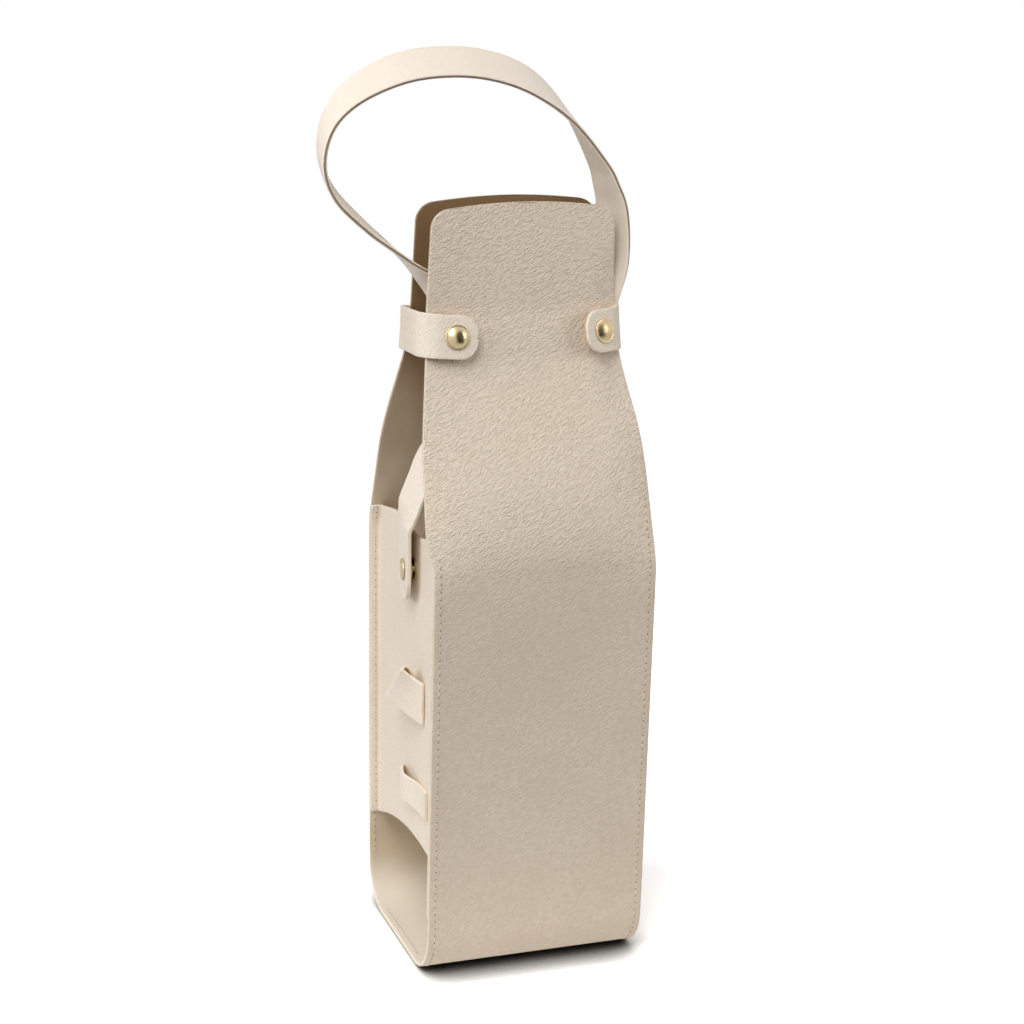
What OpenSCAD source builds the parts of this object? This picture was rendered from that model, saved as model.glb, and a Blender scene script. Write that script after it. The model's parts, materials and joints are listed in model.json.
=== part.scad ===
// Leather carrier for one bottle: a folded shell with set-in sides, two snap bands round its
// neck, a twisted handle strap and a short side strap.
// +Z is up, the front faces -Y, and the origin is the middle of the base on the ground.

/* [Body] */
// Width of the front and back panels
body_w = 104; // [101:1:110]
// Depth over the panels at the base
base_d = 98; // [94:1:102]
// Depth over the panels at the shoulders
shoulder_d = 106; // [102:1:110]
// Height of the shoulders
shoulder_z = 193; // [188:1:198]
// Height of the panels
panel_h = 350.5; // [346:0.5:354]
// Outer radius of the fold under the panels
base_r = 22; // [18:1:26]
// Outer radius of the shoulder bend
shoulder_r = 50; // [30:1:60]
// Thickness of the outer leather
shell_t = 1.2; // [1:0.1:1.4]
// Thickness of the lining leather
lining_t = 0.8; // [0.6:0.1:1]

/* [Neck] */
// Width of the panels where the bands pass
neck_w = 89; // [87:1:92]
// Width of the panels at their top
top_w = 85.5; // [82:0.5:88]
// Depth over the panels at the neck
neck_d = 25.2; // [25:0.1:28]
// Height of the bands' centre line
band_z = 292; // [289:1:294]
// Height of the flat that each band lies on
seat_h = 22; // [21:0.5:24]
// Lean of that flat from upright
seat_tilt = 11.2; // [10:0.1:12.5]
// Height at which the panels start to narrow
narrow_z = 230; // [222:1:238]
// Radius of the panels' top corners
corner_r = 9; // [6:1:12]
// Rise of the panels' top edge
top_arch = 2.2; // [1:0.1:4]

/* [Side walls] */
// Thickness of the side walls
gusset_t = 1.6; // [1.4:0.1:1.8]
// How far the side walls are set in from the panel edges
gusset_in = 4.5; // [4:0.1:5.5]
// Height of the side walls' top edge
gusset_top_z = 202; // [200:0.5:202.5]
// Dip of that edge at its middle
gusset_dip = 2; // [0:0.5:3]
// Height of the arched lower edge at its crest
arch_z = 56; // [50:1:60]
// How far the crest stands in front of the middle
arch_y = 12; // [6:1:16]
// Drop of the arch from its crest to the back panel
arch_drop = 10.5; // [8:0.5:14]
// Width of the leg below the arch's front end
leg_w = 5; // [4:0.5:6]
// Height at which the leg and the flanges end
leg_end_z = 28; // [25:1:32]

/* [Straps] */
// Thickness of every strap
strap_t = 2; // [1.8:0.1:2.2]
// Width of the neck bands
band_w = 19.5; // [18:0.5:20.5]
// Tilt of the bands at the front snaps
band_tilt = 5; // [3:0.5:7]
// Width of the handle strap
handle_w = 20; // [18:0.5:20]
// Rise of the handle over the bands
handle_rise = 118.5; // [114:0.5:124]
// Width of the side strap
side_strap_w = 24; // [22:1:26]
// Length of the side strap's tab from its fold to its tip
side_tab_l = 32; // [30:0.5:34]
// Width of the upper tool loop
upper_loop_w = 20; // [18:0.5:21]
// Width of the lower tool loop
lower_loop_w = 13; // [11:0.5:14]
// Thickness of the tool loops
loop_t = 1.4; // [1.2:0.1:1.6]

/* [Snaps] */
// Distance between the two front snaps
snap_span = 68.4; // [67:0.2:69.4]
// Shift of both front snaps to the right
snap_shift = 1.9; // [1.4:0.1:2.2]
// Radius of the snap caps
cap_r = 5.6; // [5.2:0.1:6.2]
// Height of the snap caps
cap_h = 2.4; // [2:0.1:2.8]
// Radius of the stud knob
knob_r = 1.9; // [1.8:0.05:2]
// Radius of the socket's hole
socket_bore_r = 2.5; // [2.45:0.05:2.7]
// Radius of the stud base and the socket ring
ring_r = 5; // [4.6:0.1:5.3]
// Radius of the posts through the leather
post_r = 1; // [0.9:0.05:1.1]
// Radius of the side strap's snap cap
small_cap_r = 5; // [4.6:0.1:5.4]

/* [Stitches] */
// Distance from one stitch to the next
stitch_pitch = 3.5; // [3:0.1:4.5]
// Width of the thread
thread_w = 0.7; // [0.5:0.1:0.9]
// Distance from the panel edge to the seam
seam_in = 3; // [2.5:0.1:3.5]

/* [Hidden] */
// Clearance at a fold between its round end and the strap that carries it
fold_gap = 0.3;
// Clearance between two layers of leather
layer_gap = 0.2;
// Radial clearance of a post in its hole
bore_gap = 0.05;
// Clearance of a snap over its stud
snap_gap = 0.3;
// Overrun of cuts
over = 1;
// Steps of one bend
bend_steps = 8;
// Facets of round metal parts
round_fn = 48;

half_w = body_w / 2;
panel_t = shell_t + lining_t;
seat_top = band_z + seat_h / 2;
seat_low = band_z - seat_h / 2;
seat_low_y = neck_d / 2 + seat_h * tan(seat_tilt);
seat_y = neck_d / 2 + seat_h / 2 * tan(seat_tilt);
neck_r = 20;
last = 9;
corners = [
    [-neck_d / 2, panel_h + over], [-neck_d / 2, seat_top], [-seat_low_y, seat_low],
    [-shoulder_d / 2, shoulder_z], [-base_d / 2, 0], [base_d / 2, 0],
    [shoulder_d / 2, shoulder_z], [seat_low_y, seat_low], [neck_d / 2, seat_top],
    [neck_d / 2, panel_h + over]
];
radii = [0, neck_r, neck_r, shoulder_r, base_r, base_r, shoulder_r, neck_r, neck_r, 0];

// Plane geometry in [y, z]
function unit(v) = v / norm(v);
function left_of(v) = [-v[1], v[0]];
function turned(v, a) = [v[0] * cos(a) - v[1] * sin(a), v[0] * sin(a) + v[1] * cos(a)];
function reversed(p) = [for (i = [len(p) - 1:-1:0]) p[i]];

// The shell's corner points moved inward by d
function inset(d) = [
    for (i = [0:last])
        let (
            before = corners[max(i - 1, 0)],
            here = corners[i],
            after = corners[min(i + 1, last)],
            n1 = left_of(unit(i == 0 ? after - here : here - before)),
            n2 = left_of(unit(i == last ? here - before : after - here))
        )
        here + (n1 + n2) * d / (1 + n1 * n2)
];

// The arc that rounds corner b between a and c
function bend(a, b, c, r, d) =
    let (
        u1 = unit(b - a),
        u2 = unit(c - b),
        side = u1[0] * u2[1] > u1[1] * u2[0] ? 1 : -1,
        angle = acos(u1 * u2),
        rr = r - d * side,
        start = b - u1 * rr * tan(angle / 2),
        arm = left_of(u1) * rr * side
    )
    [for (k = [0:bend_steps]) start + arm - turned(arm, side * angle * k / bend_steps)];

// Side profile of the shell, d inside its outer face, from the front's top to the back's top
function path(d) =
    let (p = inset(d))
    concat(
        [p[0]],
        [for (i = [1:last - 1]) each bend(p[i - 1], p[i], p[i + 1], radii[i], d)],
        [p[last]]
    );

// Half width of the panels where they narrow, at share s of the way from the body to the neck
function panel_half_w(s) = neck_w / 2 + (half_w - neck_w / 2) * (1 + cos(180 * s)) / 2;

// Right half of the panels' front outline, from the ground up to the middle of the top
function half_outline() =
    let (
        steps = 12,
        corner_z = panel_h - top_arch - corner_r,
        flat_w = top_w / 2 - corner_r
    )
    concat(
        [[half_w, -over]],
        [for (k = [0:steps]) [panel_half_w(k / steps), narrow_z + (seat_top - narrow_z) * k / steps]],
        [for (k = [0:bend_steps]) [flat_w, corner_z] + turned([corner_r, 0], 90 * k / bend_steps)],
        [for (k = [1:bend_steps]) let (s = 1 - k / bend_steps) [flat_w * s, panel_h - top_arch * s * s]]
    );

module along_x(x0, x1) translate([x0, 0, 0]) rotate([90, 0, 90]) linear_extrude(x1 - x0) children();

module between(d0, d1) polygon(concat(path(d0), reversed(path(d1))));

module panel_cut() {
    right = half_outline();
    left = [for (p = reversed(right)) [-p[0], p[1]]];
    deep = max(shoulder_d, base_d) + 2 * over;
    rotate([90, 0, 0]) linear_extrude(deep, center = true) polygon(concat(right, left));
}

// A layer of the folded shell between two insets, with holes for the four neck posts
module layer(d0, d1) {
    difference() {
        intersection() {
            along_x(-half_w, half_w) between(d0, d1);
            panel_cut();
        }
        for (x = [left_x, right_x]) front_seat(x) hole(post_r, panel_t);
        for (x = [-rivet_x, rivet_x]) back_seat(x) hole(post_r, panel_t);
    }
}

// Frames of the snaps and rivets: local -Y points out of the leather
left_x = snap_shift - snap_span / 2;
right_x = snap_shift + snap_span / 2;
rivet_x = snap_span / 2;
web_x = half_w - gusset_in;
side_snap_y = -7;
side_strap_y = -5;
side_fold_rise = 1;
side_snap_drop = 18;
side_fold_z = gusset_top_z + side_fold_rise;
side_snap_z = side_fold_z - side_snap_drop;
module front_seat(x) translate([x, -seat_y, band_z]) rotate([-seat_tilt, 0, 0]) children();
module back_seat(x) rotate([0, 0, 180]) front_seat(-x) children();
module web_seat() translate([-web_x, side_snap_y, side_snap_z]) rotate([0, 0, -90]) children();

// Metal round the local Y axis, from s0 to s1 out of the leather's face
module disc(r, s0, s1) rotate([90, 0, 0]) translate([0, 0, s0]) cylinder(h = s1 - s0, r = r, $fn = round_fn);
module hole(r, deep) disc(r + bore_gap, -deep - over, over);

// Stack of a snap, counted out of the face
stud_t = 0.8;
knob_h = 1.6;
socket_in = stud_t + snap_gap;
socket_out = socket_in + knob_h;
tab_out = socket_out + strap_t;
tab_mid = socket_out + strap_t / 2;
post_in_knob = stud_t + knob_h / 2;
tab_hole_r = 1.3;
handle_in = panel_t + layer_gap;
handle_out = handle_in + strap_t;
strap_in = handle_out + layer_gap;
strap_out = strap_in + strap_t;

// Stud: a base disc with a knob, drilled for its post
module stud() {
    difference() {
        union() {
            disc(ring_r, 0, stud_t);
            disc(knob_r, stud_t, stud_t + knob_h);
        }
        disc(post_r + bore_gap, -over, post_in_knob + bore_gap);
    }
}

// Post: a disc behind the leather with a shaft through to the stud
module post(depth) {
    disc(ring_r, -depth - stud_t, -depth);
    disc(post_r, -depth - stud_t / 2, post_in_knob);
}

module socket() {
    difference() {
        disc(ring_r, socket_in, socket_out);
        disc(socket_bore_r, 0, socket_out + over);
    }
}

// Domed cap whose shaft fills the tab's hole
module cap(r) {
    dome_r = (r * r + cap_h * cap_h) / (2 * cap_h);
    rotate([90, 0, 0]) {
        translate([0, 0, tab_out]) rotate_extrude($fn = round_fn) intersection() {
            translate([0, cap_h - dome_r]) circle(r = dome_r, $fn = 2 * round_fn);
            square([r, cap_h]);
        }
        translate([0, 0, socket_out]) cylinder(h = strap_t + cap_h / 2, r = tab_hole_r, $fn = round_fn);
    }
}

// Sweep of a flat strap. Each station is [centre, width direction, width, thickness].
function station_points(c, w, along, width, t) =
    let (n = unit(cross(along, w)), a = unit(w) * width / 2, b = n * t / 2)
    [c - a - b, c + a - b, c + a + b, c - a + b];

module ribbon(stations) {
    count = len(stations);
    points = [
        for (i = [0:count - 1])
            let (
                s = stations[i],
                along = stations[min(i + 1, count - 1)][0] - stations[max(i - 1, 0)][0]
            )
            each station_points(s[0], s[1], along, s[2], s[3])
    ];
    sides = [
        for (i = [0:count - 2], k = [0:3])
            let (a = 4 * i + k, b = 4 * i + (k + 1) % 4)
            each [[b, a, a + 4], [b, a + 4, b + 4]]
    ];
    end = 4 * (count - 1);
    caps = [[0, 1, 2], [0, 2, 3], [end + 2, end + 1, end], [end + 3, end + 2, end]];
    polyhedron(points, concat(sides, caps));
}

// Smooth curve through rows of numbers, at u from row i to row i + 1
function smooth(rows, i, u) =
    let (
        top = len(rows) - 1,
        a = rows[max(i - 1, 0)],
        b = rows[i],
        c = rows[min(i + 1, top)],
        d = rows[min(i + 2, top)]
    )
    b + u / 2 * (c - a + u * (2 * a - 5 * b + 4 * c - d + u * (3 * b - a - 3 * c + d)));

module outer_shell() color([0.80, 0.74, 0.66]) layer(0, shell_t);

// The lining has a channel along both edges of the base, in which the stitches lie
module lining() color([0.88, 0.83, 0.75]) {
    difference() {
        layer(shell_t, panel_t);
        for (x = [-seam_x, seam_x])
            translate([x - channel_w / 2, -base_flat / 2, panel_t - channel_d])
                cube([channel_w, base_flat, channel_d + over]);
    }
}

// Side wall on the right: a web with flanges that lie against both panels
module gusset_shape() {
    deep = shoulder_d / 2;
    front_y = -base_d / 2 + panel_t;
    leg_y = front_y + leg_w;
    back_y = -front_y - gusset_t;
    steps = 10;
    top_edge = [
        for (k = [-steps:steps])
            [-deep * k / steps, gusset_top_z - gusset_dip * (1 - pow(k / steps, 2))]
    ];
    arch = [
        for (k = [0:2 * steps])
            let (y = leg_y + (back_y - leg_y) * k / (2 * steps))
            [y, arch_z - arch_drop * pow((y + arch_y) / (back_y + arch_y), 2)]
    ];
    outline = concat(
        top_edge, [[-deep, leg_end_z], [front_y, leg_end_z]], arch,
        [[back_y, leg_end_z], [deep, leg_end_z]]
    );
    flange_w = gusset_in;
    intersection() {
        along_x(web_x - gusset_t, half_w) polygon(outline);
        union() {
            along_x(web_x - gusset_t, web_x) polygon(path(panel_t));
            along_x(web_x, web_x + flange_w) between(panel_t, panel_t + gusset_t);
        }
    }
}

module left_gusset() color([0.93, 0.89, 0.82]) {
    difference() {
        mirror([1, 0, 0]) gusset_shape();
        web_seat() hole(post_r, gusset_t);
    }
}

module right_gusset() color([0.93, 0.89, 0.82]) gusset_shape();

// Stitches
stitch_l_share = 0.62;
stitch_h = 0.4;
stitch_lift = 0.03;
seam_x = half_w - seam_in;
seam_top_z = 230;
shoulder_first = 1 + 2 * (bend_steps + 1);
base_half = 1 + 3 * (bend_steps + 1) + bend_steps / 2;
base_flat = base_d - 2 * base_r;
channel_d = stitch_h + 2 * stitch_lift;
channel_w = thread_w + 2 * layer_gap;

module stitch() translate([-thread_w / 2, -stitch_pitch * stitch_l_share / 2, -stitch_h - stitch_lift])
    cube([thread_w, stitch_pitch * stitch_l_share, stitch_h]);

function slope_y(z) = seat_low_y + (shoulder_d / 2 - seat_low_y) * (seat_low - z) / (seat_low - shoulder_z);
function walk(p, s, i = 0) =
    let (step = p[i + 1] - p[i], l = norm(step))
    s <= l || i == len(p) - 2 ? [p[i] + step * s / l, step] : walk(p, s - l, i + 1);
function length_of(p, i = 0) = i == len(p) - 1 ? 0 : norm(p[i + 1] - p[i]) + length_of(p, i + 1);

// Seam down the front panel from above the shoulder to the base, at x
module panel_seam(x) {
    p = path(0);
    run = concat([[-slope_y(seam_top_z), seam_top_z]], [for (i = [shoulder_first:base_half]) p[i]]);
    count = floor(length_of(run) / stitch_pitch);
    for (k = [0:count - 1]) {
        at = walk(run, (k + 0.5) * stitch_pitch);
        translate([x, at[0][0], at[0][1]]) rotate([atan2(at[1][1], at[1][0]), 0, 0]) stitch();
    }
}

module seam_colour() color([0.90, 0.86, 0.78]) children();
module front_left_seam() seam_colour() panel_seam(-seam_x);
module front_right_seam() seam_colour() panel_seam(seam_x);
module back_left_seam() seam_colour() rotate([0, 0, 180]) panel_seam(seam_x);
module back_right_seam() seam_colour() rotate([0, 0, 180]) panel_seam(-seam_x);

// Rows of stitches in the lining's channels along both edges of the base
module base_seams() seam_colour() {
    count = floor(base_flat / stitch_pitch);
    for (x = [-seam_x, seam_x], k = [0:count - 1])
        translate([x, (k + 0.5 - count / 2) * stitch_pitch, panel_t - channel_d])
            mirror([0, 0, 1]) stitch();
}

// Tool loops on the left side wall. Rows are [out of the wall, y, z, run across in y, run across
// in z], in shares of the bulge, of the wall's depth and height, and of the loop's width.
upper_bulge = 8;
lower_bulge = 3.5;
wall_d = base_d - 2 * panel_t;
wall_h = gusset_top_z;
upper_loop_shares = [
    [0, -0.277, 0.624, 0, 1], [0.5, -0.197, 0.634, -0.35, 1.02], [0.9, -0.117, 0.645, -0.9, 1.05],
    [1, -0.069, 0.6485, -1.25, 1.05], [0.72, -0.056, 0.655, -1.25, 1], [0.35, -0.066, 0.643, -1.2, 0.82],
    [0.14, -0.072, 0.607, -1.1, 0.38], [0, -0.064, 0.562, -1, 0]
];
lower_loop_shares = [
    [0, -0.34, 0.39, 0, 1.1], [0.06, -0.22, 0.39, 0, 1.08], [0.55, -0.14, 0.393, 0, 1],
    [1, -0.08, 0.396, 0, 0.95], [0.6, 0, 0.398, 0, 0.88], [0, 0.055, 0.397, 0, 0.85]
];

module loop(shares, bulge, width) color([0.92, 0.88, 0.80]) {
    per_row = 4;
    stand = web_x + loop_t / 2;
    count = per_row * (len(shares) - 1);
    ribbon([
        for (k = [0:count])
            let (
                i = min(floor(k / per_row), len(shares) - 2),
                r = smooth(shares, i, k / per_row - i),
                across = [0, r[3], r[4]]
            )
            [[-stand - bulge * max(r[0], 0), wall_d * r[1], wall_h * r[2]], across, width * norm(across), loop_t]
    ]);
}

module upper_tool_loop() loop(upper_loop_shares, upper_bulge, upper_loop_w);
module lower_tool_loop() loop(lower_loop_shares, lower_bulge, lower_loop_w);

// Neck bands. The tab folds about an axis at the panel's edge, and the rest of the band goes
// round to the back panel.
band_stand = 4;
band_out_x = neck_w / 2 + band_stand;
tab_tip = 9.7;
tab_corner_r = 8;
band_bend_r = 3.7;
band_end_x = 23;
function fold_l(x) = (band_out_x - abs(x)) / cos(band_tilt);

module tab_frame(x) front_seat(x) rotate([0, x < 0 ? band_tilt : -band_tilt, 0]) children();

// Tab of the right band in its snap's frame: a plate with a round tip and a round folding end
module tab_plate(l, tip, width, tip_r) {
    rotate([90, 0, 0]) translate([0, 0, socket_out]) linear_extrude(strap_t) {
        translate([-tip + tip_r, -width / 2]) square([l + tip - tip_r, width]);
        translate([-tip, -width / 2 + tip_r]) square([2 * tip_r, width - 2 * tip_r]);
        for (z = [-1, 1])
            translate([-tip + tip_r, z * (width / 2 - tip_r)])
                circle(r = tip_r, $fn = round_fn);
    }
    translate([l, -tab_mid, -width / 2]) cylinder(h = width, r = strap_t / 2, $fn = round_fn);
}

module tab(x) color([0.90, 0.86, 0.78]) tab_frame(x) {
    difference() {
        mirror([x < 0 ? 1 : 0, 0, 0]) tab_plate(fold_l(x), tab_tip, band_w, tab_corner_r);
        disc(tab_hole_r + bore_gap, 0, tab_out + over);
    }
}

// Rotation of v as the right tab's frame turns it
function tilt_front(v) =
    let (
        x = v[0] * cos(band_tilt) - v[2] * sin(band_tilt),
        z = v[0] * sin(band_tilt) + v[2] * cos(band_tilt)
    )
    [x, v[1] * cos(seat_tilt) + z * sin(seat_tilt), -v[1] * sin(seat_tilt) + z * cos(seat_tilt)];

// The fixed part of a band, drawn for the right side
module band(x) {
    fold = [abs(x), -seat_y, band_z] + tilt_front([fold_l(x), -tab_mid, 0]);
    front_w = tilt_front([0, 0, 1]);
    back_w = [0, -sin(seat_tilt), cos(seat_tilt)];
    back_y = seat_y + (layer_gap + strap_t / 2) / cos(seat_tilt);
    bend_y = back_y - band_bend_r;
    bend_x = fold[0] - band_bend_r;
    side_from = fold[1] + strap_t / 2 + fold_gap;
    side_steps = 6;
    side = [
        for (k = [0:side_steps])
            let (s = k / side_steps)
            [
                [fold[0], side_from + (bend_y - side_from) * s, fold[2] + (band_z - fold[2]) * s],
                front_w + (back_w - front_w) * s, band_w, strap_t
            ]
    ];
    round_the_back = [
        for (k = [1:bend_steps])
            let (a = 90 * k / bend_steps)
            [[bend_x + band_bend_r * cos(a), bend_y + band_bend_r * sin(a), band_z], back_w, band_w, strap_t]
    ];
    difference() {
        ribbon(concat(side, round_the_back, [[[band_end_x, back_y, band_z], back_w, band_w, strap_t]]));
        back_seat(rivet_x) hole_out();
    }
}

module hole_out() disc(post_r + bore_gap, -over, layer_gap + strap_t + over);

module left_band() color([0.90, 0.86, 0.78]) mirror([1, 0, 0]) band(left_x);
module right_band() color([0.90, 0.86, 0.78]) band(right_x);
module left_tab() tab(left_x);
module right_tab() tab(right_x);

module brass() color([0.76, 0.66, 0.42]) children();
module left_stud() brass() front_seat(left_x) stud();
module right_stud() brass() front_seat(right_x) stud();
module left_stud_post() brass() front_seat(left_x) post(strap_out + layer_gap);
module right_stud_post() brass() front_seat(right_x) post(handle_out + layer_gap);
module left_tab_socket() brass() tab_frame(left_x) socket();
module right_tab_socket() brass() tab_frame(right_x) socket();
module left_tab_cap() brass() tab_frame(left_x) cap(cap_r);
module right_tab_cap() brass() tab_frame(right_x) cap(cap_r);

// Back rivets: a low cap with a shaft, and a burr ring inside the neck
rivet_r = 4.5;
rivet_h = 1.8;
rivet_crown_share = 0.8;
burr_r = 4;
module rivet(x) brass() back_seat(x) {
    face = layer_gap + strap_t;
    disc(rivet_r, face, face + rivet_h / 2);
    disc(rivet_r * rivet_crown_share, face + rivet_h / 2, face + rivet_h);
    disc(post_r, -panel_t - stud_t, face + rivet_h / 2);
}

module burr(x) brass() back_seat(x) {
    difference() {
        disc(burr_r, -panel_t - stud_t, -panel_t);
        hole(post_r, panel_t + stud_t);
    }
}

module back_left_rivet() rivet(-rivet_x);
module back_right_rivet() rivet(rivet_x);
module back_left_burr() burr(-rivet_x);
module back_right_burr() burr(rivet_x);

// Handle. Each row is [x, z, y, turn of the width about the route in degrees], from the left snap
// to the right one. x is in shares of the snaps' half span from their middle, z in shares of the
// rise over the bands, and y in shares of the neck's half depth. The strap folds at two rows.
handle_shares = [
    [-1, -0.076, -1.1, 90], [-1, 0, -1, 90], [-0.99, 0.05, -0.82, 90], [-0.985, 0.1, -0.5, 80],
    [-1, 0.14, -0.22, 56], [-1.12, 0.176, -0.04, 30], [-1.31, 0.222, 0, 12], [-1.48, 0.265, 0, 2],
    [-1.77, 0.334, -0.06, -5], [-2.1, 0.412, -0.12, -10], [-2.5, 0.53, -0.2, -13],
    [-2.66, 0.652, -0.24, -8], [-2.57, 0.787, -0.24, 3], [-2.24, 0.896, -0.24, 19],
    [-1.66, 0.976, -0.24, 30], [-1.05, 1, -0.24, 33], [-0.46, 0.985, -0.24, 34],
    [0.1, 0.925, -0.24, 30], [0.62, 0.8, -0.24, 13], [1.04, 0.625, -0.24, -5],
    [1.17, 0.54, -0.24, -13], [1.26, 0.44, -0.24, -23], [1.21, 0.258, -0.32, -50],
    [1.03, 0.115, -0.6, -80], [1, 0.06, -0.88, -90], [1, 0, -1, -90], [1, -0.076, -1.1, -90]
];
left_fold_row = 8;
right_fold_row = 20;
handle_per_row = 4;
fold_half_angle = 40;
tip_half = 0.15;
gap_share = 0.028;
look_share = 0.05;
handle_rows = [
    for (s = handle_shares)
        [snap_shift + snap_span / 2 * s[0], band_z + handle_rise * s[1], neck_d / 2 * s[2], s[3]]
];
left_fold = handle_rows[left_fold_row];
right_fold = handle_rows[right_fold_row];

// Depth of a layer's middle that lies depth inside the front seat, at height z
function layer_y(z, depth) = -seat_y + (z - band_z) * tan(seat_tilt) + (depth + strap_t / 2) / cos(seat_tilt);

// The flat ends lie against the lining on the seats, and no point comes nearer to the panel
function handle_at(v) =
    let (i = min(floor(v), len(handle_rows) - 2), r = smooth(handle_rows, i, v - i))
    [r[0], max(r[2], layer_y(min(r[1], seat_top), handle_in)), r[1], max(min(r[3], 90), -90)];
function xyz(r) = [r[0], r[1], r[2]];

// Stations of the handle from row a to row b, narrowed to points at the folds
function handle_stations(a, b) =
    let (
        from = a == left_fold_row || a == right_fold_row ? a + gap_share : a,
        to = b == left_fold_row || b == right_fold_row ? b - gap_share : b,
        count = handle_per_row * (b - a) + 2,
        fold_l_pt = xyz(handle_at(left_fold_row)),
        fold_r_pt = xyz(handle_at(right_fold_row))
    )
    [
        for (k = [0:count])
            let (
                v = from + (to - from) * k / count,
                at = handle_at(v),
                c = xyz(at),
                ahead = xyz(handle_at(min(v + look_share, len(handle_rows) - 1))),
                behind = xyz(handle_at(max(v - look_share, 0))),
                along = unit(ahead - behind),
                flat = unit([0, 1, 0] - along * along[1]),
                w = flat * cos(at[3]) + cross(along, flat) * sin(at[3]),
                reach = tip_half + tan(fold_half_angle) * min(norm(c - fold_l_pt), norm(c - fold_r_pt))
            )
            [c, w, min(handle_w, 2 * reach), min(strap_t, 2 * reach)]
    ];

module strap_colour() color([0.93, 0.88, 0.80]) children();

module handle_left_end() strap_colour() {
    difference() {
        ribbon(handle_stations(0, left_fold_row));
        front_seat(left_x) hole(post_r, handle_out);
    }
}

module handle_right_end() strap_colour() {
    difference() {
        ribbon(handle_stations(right_fold_row, len(handle_rows) - 1));
        front_seat(right_x) hole(post_r, handle_out);
    }
}

module handle_strap() strap_colour() ribbon(handle_stations(left_fold_row, right_fold_row));

// Side strap. Its tab folds at the side wall's top edge, and its upper part leans inward, turns
// a quarter and ends under the left snap post.
side_fold_x = web_x + tab_mid;
side_tip_r = 10;
strap_end_past = 4;
upper_end_z = band_z + strap_end_past;

// Rows of the upper part: [x share of the fold's x, y share of the shoulder's half depth,
// z share of the way from the fold to the upper end, turn of the width in degrees]
side_strap_shares = [
    [1, -0.094, 0, 0], [0.98, -0.094, 0.05, 0], [0.955, -0.094, 0.11, 0], [0.9, -0.094, 0.19, 0],
    [0.86, -0.094, 0.245, 0], [0.82, -0.094, 0.305, 0], [0.775, -0.094, 0.37, 2], [0.735, -0.1, 0.43, 10],
    [0.695, -0.115, 0.52, 30], [0.665, -0.15, 0.62, 56], [0.645, -0.195, 0.71, 78], [0.635, -0.223, 0.79, 90]
];

module strap_upper() strap_colour() {
    start_z = side_fold_z + strap_t / 2 + fold_gap;
    rise = upper_end_z - start_z;
    rows = [
        for (s = side_strap_shares)
            [-side_fold_x * s[0], shoulder_d / 2 * s[1], start_z + rise * s[2], s[3]]
    ];
    per_row = 3;
    count = per_row * (len(rows) - 1);
    lower = [
        for (k = [0:count - 1])
            let (
                i = min(floor(k / per_row), len(rows) - 2),
                r = smooth(rows, i, k / per_row - i),
                a = max(r[3], 0)
            )
            [xyz(r), [sin(a), cos(a), 0], side_strap_w, strap_t]
    ];
    seat_from = rows[len(rows) - 1][2];
    upper = [
        for (z = [seat_from, upper_end_z])
            [[left_x, layer_y(z, strap_in), z], [1, 0, 0], side_strap_w, strap_t]
    ];
    difference() {
        ribbon(concat(lower, upper));
        front_seat(left_x) hole(post_r, strap_out);
    }
}

module strap_tab() strap_colour() {
    difference() {
        translate([-side_fold_x, side_strap_y, side_fold_z]) rotate([0, 0, -90]) {
            rotate([90, 0, 0]) translate([0, 0, -strap_t / 2]) linear_extrude(strap_t) {
                translate([-side_strap_w / 2, -side_tab_l + side_tip_r])
                    square([side_strap_w, side_tab_l - side_tip_r]);
                translate([-side_strap_w / 2 + side_tip_r, -side_tab_l])
                    square([side_strap_w - 2 * side_tip_r, side_tip_r + over]);
                for (x = [-1, 1])
                    translate([x * (side_strap_w / 2 - side_tip_r), -side_tab_l + side_tip_r])
                        circle(r = side_tip_r, $fn = round_fn);
            }
            rotate([0, 90, 0])
                cylinder(h = side_strap_w, r = strap_t / 2, center = true, $fn = round_fn);
        }
        web_seat() disc(tab_hole_r + bore_gap, 0, tab_out + over);
    }
}

module strap_stud() brass() web_seat() stud();
module strap_stud_post() brass() web_seat() post(gusset_t);
module strap_socket() brass() web_seat() socket();
module strap_cap() brass() web_seat() cap(small_cap_r);

outer_shell();
lining();
left_gusset();
right_gusset();
front_left_seam();
front_right_seam();
back_left_seam();
back_right_seam();
base_seams();
upper_tool_loop();
lower_tool_loop();
left_band();
right_band();
left_tab();
right_tab();
left_stud();
right_stud();
left_stud_post();
right_stud_post();
left_tab_socket();
right_tab_socket();
left_tab_cap();
right_tab_cap();
back_left_rivet();
back_right_rivet();
back_left_burr();
back_right_burr();
handle_left_end();
handle_strap();
handle_right_end();
strap_upper();
strap_tab();
strap_stud();
strap_stud_post();
strap_socket();
strap_cap();
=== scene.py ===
"""Looks of a leather carrier for one bottle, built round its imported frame.

Sizes are in metres. +Z is up, the front faces -Y and the origin is the middle of the base.
"""

import json
import logging
import math
from dataclasses import dataclass, field
from enum import Enum
from typing import Sequence

import bpy
import numpy as np
from mathutils import Matrix, Vector


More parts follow.
